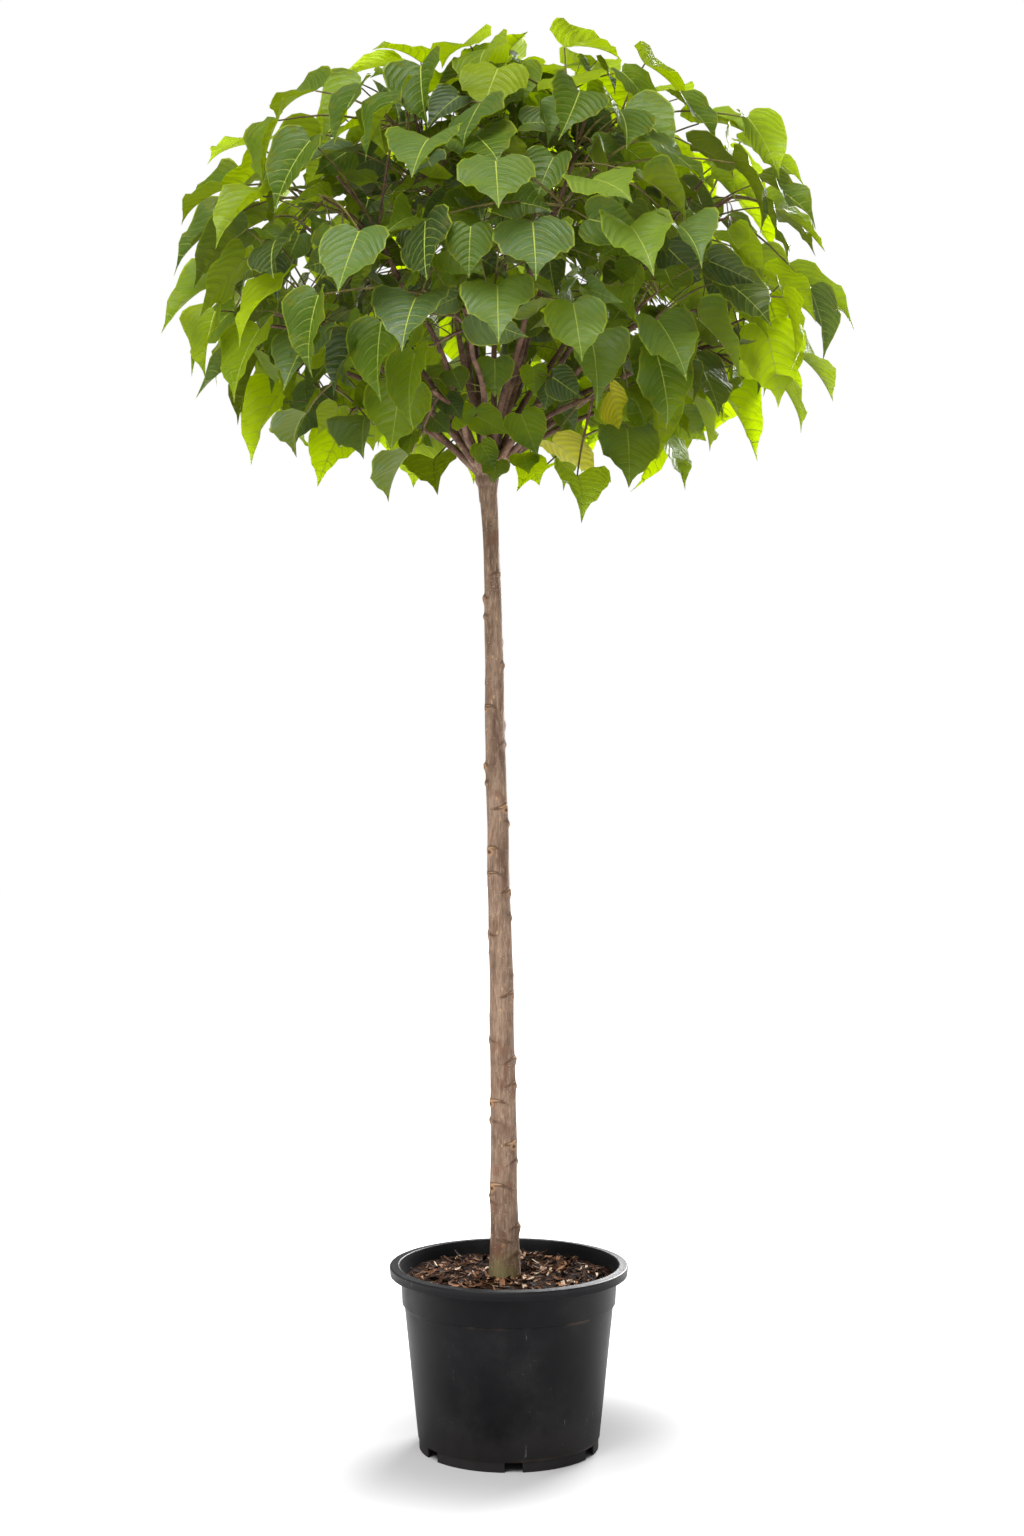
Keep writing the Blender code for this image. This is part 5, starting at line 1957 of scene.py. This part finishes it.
def turned_pot():
    profile = pot_profile()
    mesh = bpy.data.meshes.new("pot profile")
    mesh.from_pydata([(r, 0.0, z) for r, z in profile], [(i, i + 1) for i in range(len(profile) - 1)], [])
    pot = linked("pot_moulding", mesh)
    screw = pot.modifiers.new("turn", "SCREW")
    screw.steps = POT_SIDES
    screw.render_steps = POT_SIDES
    screw.use_merge_vertices = True
    screw.merge_threshold = 0.0001
    cutters = []
    for i in range(NOTCHES):
        angle = math.radians(-90) + NOTCH_TURN + math.tau * i / NOTCHES
        bpy.ops.mesh.primitive_cube_add(size=1.0)
        notch = bpy.context.object
        notch.scale = (NOTCH_DEPTH, NOTCH_WIDTH, NOTCH_HEIGHT * 2)
        bpy.ops.object.transform_apply(scale=True, location=False, rotation=False)
        notch.location = (FOOT_RADIUS * math.cos(angle), FOOT_RADIUS * math.sin(angle), 0.0)
        notch.rotation_euler.z = angle
        soft = notch.modifiers.new("soft corners", "BEVEL")
        soft.width = NOTCH_CORNER
        soft.segments = 3
        cut = pot.modifiers.new(f"notch {i + 1}", "BOOLEAN")
        cut.operation = "DIFFERENCE"
        cut.object = notch
        cutters.append(notch)
    plain(pot)
    for notch in cutters:
        bpy.data.objects.remove(notch)
    pot.data.materials.clear()
    pot.data.materials.append(pot_plastic)
    pot.data.shade_smooth()
    pot.data.set_sharp_from_angle(angle=math.radians(40))
    return pot


pot = turned_pot()
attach(pot, "root")
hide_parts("pot")
print("pot faces", len(pot.data.polygons))

# %% [markdown]
# ## The soil
# The root ball fills the pot. Its top is dark composted bark: crumbs and curled chips, most of them brown
# and a few pale. The ball is turned from a profile with a fine, uneven top, and the chips are scattered on
# that top by Geometry Nodes with a fixed seed.

# %% Soil body
SOIL_HEIGHT = 0.2355
SOIL_RELIEF = 0.0017
SOIL_CLEAR = 0.0003
SOIL_RINGS = 64
SOIL_SIDES = 128
SOIL_MOUTH = COLLAR_FOOT_RADIUS - WALL - SOIL_CLEAR + 0.0014
CRUMB_RELIEF = 0.0011
EDGE_DROP = 0.003
EDGE_WIDTH = 0.010


def soil_relief(x, y):
    """The uneven top of the soil: the solid's swells with crumbs on them."""
    swell = SOIL_RELIEF * (math.sin(61 * x + 3.1) * math.cos(73 * y) + 0.6 * math.sin(131 * x - 97 * y + 1.0))
    crumbs = noise.noise(Vector((x * 210, y * 210, 0.0))) + 0.6 * noise.noise(Vector((x * 520, y * 520, 4.0)))
    return swell + CRUMB_RELIEF * crumbs


def ring_of_soil(radius, height=None):
    """A ring of points at this height, or else on the uneven top, which drops a little at its edge."""
    drop = EDGE_DROP * max(0.0, (radius - SOIL_MOUTH + EDGE_WIDTH) / EDGE_WIDTH) ** 2
    ring = []
    for k in range(SOIL_SIDES):
        angle = math.tau * k / SOIL_SIDES
        x = radius * math.cos(angle)
        y = radius * math.sin(angle)
        ring.append((x, y, SOIL_HEIGHT + soil_relief(x, y) - drop if height is None else height))
    return ring


def soil_body():
    floor = FOOT_HEIGHT + FLOOR_THICKNESS
    rings = [ring_of_soil(SOIL_MOUTH * (i / (SOIL_RINGS - 1))) for i in range(1, SOIL_RINGS)]
    rings.append(ring_of_soil(COLLAR_FOOT_RADIUS - WALL - SOIL_CLEAR, COLLAR_FOOT_HEIGHT + 0.002))
    rings.append(ring_of_soil(BODY_TOP_RADIUS - WALL - SOIL_CLEAR, COLLAR_FOOT_HEIGHT - 0.004))
    rings.append(ring_of_soil(body_radius(floor) - WALL - SOIL_CLEAR, floor + SOIL_CLEAR))
    points = [(0.0, 0.0, SOIL_HEIGHT + soil_relief(0.0, 0.0))] + [point for ring in rings for point in ring]
    faces = [(0, 1 + k, 1 + (k + 1) % SOIL_SIDES) for k in range(SOIL_SIDES)]
    faces += ring_bands(1, len(rings), SOIL_SIDES, widening=True)
    faces.append(tuple(1 + (len(rings) - 1) * SOIL_SIDES + k for k in range(SOIL_SIDES))[::-1])
    mesh = bpy.data.meshes.new("soil body")
    mesh.from_pydata(points, [], faces)
    mesh.shade_smooth()
    return linked("soil body", mesh)


soil = soil_body()
print("soil body faces", len(soil.data.polygons))

# %% Soil finishes


def crumb_finish():
    """Dark crumbs of composted bark, with a few pale grains."""
    net = Finish("soil crumbs")
    lumps = net.noise(net.place, 140.0, 5.0, 0.7)
    fine = net.noise(net.place, 700.0, 3.0, 0.7)
    grains = net.cells(net.place, 260.0).step(0.16, 0.08)
    colour = net.mixed((0.6 * lumps + 0.4 * fine).step(0.44, 0.68), linear(10, 6, 4), linear(76, 49, 33))
    colour = net.mixed(0.7 * grains * lumps.step(0.56, 0.64), colour, linear(176, 152, 124))
    rough = 0.90 + 0.1 * (fine - 0.5)
    bump = net.bump(lumps + 0.5 * fine, 0.9, 0.002)
    return net.paint({"Specular IOR Level": 0.03, "Base Color": colour, "Roughness": rough, "Normal": bump})


def chip_finish():
    """Bark chips, each with its own shade, from nearly black to pale wood."""
    net = Finish("bark chips")
    fibres = net.noise(net.place, 420.0, 4.0, 0.65)
    stops = [
        (0.0, linear(16, 9, 6)),
        (0.38, linear(46, 29, 20)),
        (0.70, linear(104, 72, 52)),
        (0.93, linear(168, 128, 96)),
        (1.0, linear(232, 214, 192)),
    ]
    shade = net.attribute("chip_shade") + 0.22 * (fibres - 0.5)
    colour = net.add("ShaderNodeValToRGB", {"stops": stops}, {0: shade})
    rough = 0.78 + 0.2 * (fibres - 0.5)
    bump = net.bump(fibres, 0.8, 0.001)
    return net.paint({"Specular IOR Level": 0.12, "Base Color": colour, "Roughness": rough, "Normal": bump})


crumbs = crumb_finish()
chips = chip_finish()
print("soil finishes", crumbs.name, chips.name)

# %% Chip shapes
# A chip's name, length, width, curl along it and cup across it
CHIPS = (
    ("broad chip", 0.021, 0.0080, 0.5, 0.10),
    ("long chip", 0.028, 0.0050, 1.1, 0.16),
    ("curl", 0.017, 0.0060, 2.2, 0.20),
    ("splinter", 0.024, 0.0022, 0.4, 0.05),
    ("crumb", 0.008, 0.0060, 0.6, 0.12),
)
CHIP_THICKNESS = 0.12


def curled_chip(name, length, width, curl, cup):
    """A torn strip of bark: thin, bent along its length and cupped across."""
    steps = 5
    half = []
    for i in range(steps + 1):
        t = i / steps - 0.5
        taper = 1 - 1.1 * abs(t) ** 2.2
        angle = curl * t
        reach = length * math.sin(angle) / curl
        rise = length * (1 - math.cos(angle)) / curl
        for side in (-1, 0, 1):
            ragged = 1 + 0.18 * math.sin(7.0 * i + 2.0 * side + length * 300)
            half.append((reach, side * width / 2 * taper * ragged, rise + cup * side * side * width))
    points = half + [(x, y, z - CHIP_THICKNESS * width) for x, y, z in half]
    count = len(half)
    faces = []
    for i in range(steps):
        for k in range(2):
            a = 3 * i + k
            faces.append((a, a + 3, a + 4, a + 1))
            faces.append((count + a, count + a + 1, count + a + 4, count + a + 3))
    border = [3 * i for i in range(steps + 1)] + [3 * steps + 1, 3 * steps + 2]
    border += [3 * i + 2 for i in reversed(range(steps))] + [1]
    for a, b in zip(border, border[1:] + border[:1]):
        faces.append((b, a, count + a, count + b))
    mesh = bpy.data.meshes.new(name)
    mesh.from_pydata(points, [], faces)
    return bpy.data.objects.new(name, mesh)


chip_shapes = bpy.data.collections.new("chip shapes")
for made in CHIPS:
    chip_shapes.objects.link(curled_chip(*made))

# %% Scatter the chips
SCATTER_VALUES = {
    "Chips": chip_shapes,
    "Chips per square metre": 11500.0,
    "Smallest": 0.30,
    "Largest": 1.25,
    "Tilt": 0.42,
    "Lift": 0.0014,
    "Seed": 5,
}
CHIP_REACH = 0.014
TOP_DEPTH = 0.008
TRUNK_OFFSET = 0.0059
TRUNK_CLEAR = 0.026


def random_value(net, low, high, seed):
    return net.add("FunctionNodeRandomValue", {"data_type": "FLOAT"}, {2: low, 3: high, 8: seed}, out=1)


def on_top(net):
    """Whether a chip may lie at a spot: on the top, off the stem and off the pot's wall."""
    _, _, up = net.parts(net.add("GeometryNodeInputNormal"))
    x, y, height = net.parts(net.add("GeometryNodeInputPosition"))
    off = ((x + TRUNK_OFFSET) * (x + TRUNK_OFFSET) + y * y) ** 0.5
    spare = SOIL_MOUTH - CHIP_REACH - (x * x + y * y) ** 0.5
    return (up > 0.3) * (height > SOIL_HEIGHT - TOP_DEPTH) * (off > TRUNK_CLEAR) * (spare > 0.0)


def chip_scatter():
    """Chips on every face that looks up, each with its own piece, turn, size and shade."""
    net = Maker("chip scatter", SCATTER_VALUES)
    body = net.given("Geometry")
    seed = net.given("Seed")
    density = net.given("Chips per square metre")
    sockets = {0: body, "Selection": on_top(net), "Density": density, "Seed": seed}
    points = net.add("GeometryNodeDistributePointsOnFaces", sockets=sockets)
    pieces = net.add("GeometryNodeCollectionInfo", sockets={0: net.given("Chips"), 1: True, 2: True})
    tilts = [random_value(net, -1.0, 1.0, seed + n) * net.given("Tilt") for n in (1, 2)]
    lean = net.joined(*tilts, random_value(net, 0.0, math.tau, seed + 3))
    turn = net.add("FunctionNodeEulerToRotation", sockets={0: lean})
    size = random_value(net, 0.0, 1.0, seed + 4)
    size = net.given("Smallest") + (net.given("Largest") - net.given("Smallest")) * size * size
    placed = {0: points, 2: pieces, 3: True, 5: turn, 6: size}
    scattered = net.add("GeometryNodeInstanceOnPoints", sockets=placed)
    kept = {0: scattered, "Name": "chip_shade", "Value": random_value(net, 0.0, 1.0, seed + 5)}
    scattered = net.add("GeometryNodeStoreNamedAttribute", {"data_type": "FLOAT", "domain": "INSTANCE"}, kept)
    scattered = net.add("GeometryNodeRealizeInstances", sockets={0: scattered})
    lift = net.joined(0.0, 0.0, net.given("Lift"))
    scattered = net.add("GeometryNodeSetPosition", sockets={0: scattered, "Offset": lift})
    return net.finished(net.together(net.covered(body, crumbs), net.covered(scattered, chips)))


soil = run_tree(soil, chip_scatter(), SCATTER_VALUES)
soil.name = "soil_and_chips"
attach(soil, "root")
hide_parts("soil")
print("soil faces", len(soil.data.polygons))

# %% [markdown]
# ## Floor, light and camera
# The scene has a cut-out look: white all round, a soft grey shadow at the foot of the pot, light from
# everywhere and a little more of it from above. A white world and large soft lights give the light, and
# the grey at the pot's foot is deepened by painted shade in the floor.

# %% Floor
FLOOR_RADIUS = 9.0
FLOOR_GREY = (0.40, 0.40, 0.40)
BLACK = (0.0, 0.0, 0.0)
WHITE = (1.0, 1.0, 1.0)
SHADE_REACH = (0.15, 0.52)
bpy.ops.mesh.primitive_circle_add(vertices=96, radius=FLOOR_RADIUS, fill_type="NGON")
floor = bpy.context.object
floor.name = "floor"
net = Finish("pale floor")
x, y, _ = net.parts(net.place)
away = (x * x + y * y) ** 0.5
# Painted shade: the floor's emission fades out towards the pot, so a grey ring lies round its foot
glow = net.mixed(away.step(*SHADE_REACH), BLACK, WHITE)
net.paint({"Base Color": FLOOR_GREY, "Roughness": 0.9, "Specular IOR Level": 0.1})
floor.data.materials.append(net.paint({"Emission Color": glow, "Emission Strength": 1.0}))
print("floor", 2 * FLOOR_RADIUS, "m across, white from", SHADE_REACH[1], "m off the pot's middle")

# %% World and lights
AMBIENT = 0.34
SKY_POWER = 3.7
SKY_SPREAD = math.radians(36)
SKY_TURN = (math.radians(18), math.radians(-12), 0)
CROWN_MIDDLE = Vector((0, 0, 1.62))
# The large lamps: name, place, size and power
LAMPS = (
    ("key", (-2.2, -3.2, 3.6), 2.0, 90.0),
    ("back", (1.6, 3.2, 2.2), 2.4, 400.0),
)
world = bpy.data.worlds.new("white studio")
bpy.context.scene.world = world
world.use_nodes = True
air = Net(world.node_tree)
seen = air.add("ShaderNodeLightPath", out="Is Camera Ray")
background = world.node_tree.nodes["Background"]
air.feed(background.inputs["Color"], WHITE)
air.feed(background.inputs["Strength"], AMBIENT + (1.0 - AMBIENT) * seen)
sky = bpy.data.lights.new("sky", "SUN")
sky.energy = SKY_POWER
sky.angle = SKY_SPREAD
linked("sky", sky).rotation_euler = SKY_TURN
for name, place, size, power in LAMPS:
    lamp = bpy.data.lights.new(name, "AREA")
    lamp.shape = "DISK"
    lamp.size = size
    lamp.energy = power
    holder = linked(name, lamp)
    holder.location = place
    holder.rotation_euler = (CROWN_MIDDLE - Vector(place)).to_track_quat("-Z", "Y").to_euler()
    holder.visible_camera = False
print("lights", 1 + len(LAMPS))

# %% Camera
LONG_SIDE = 1536
SHORT_SIDE = 1024
SENSOR = 36.0
eye = bpy.data.cameras.new("camera")
eye.sensor_width = SENSOR
eye.lens = FOCAL * SENSOR / LONG_SIDE
eye.shift_y = (HORIZON_ROW - LONG_SIDE / 2) / LONG_SIDE
camera = linked("camera", eye)
camera.location = ((SHORT_SIDE / 2 - MIDDLE_COLUMN) * VIEW_DISTANCE / FOCAL, -VIEW_DISTANCE, EYE_HEIGHT)
camera.rotation_euler = (math.radians(90), 0, 0)
bpy.context.scene.camera = camera
bpy.context.scene.view_settings.view_transform = "Standard"
print("lens", round(eye.lens, 2), "shift", round(eye.shift_y, 4))
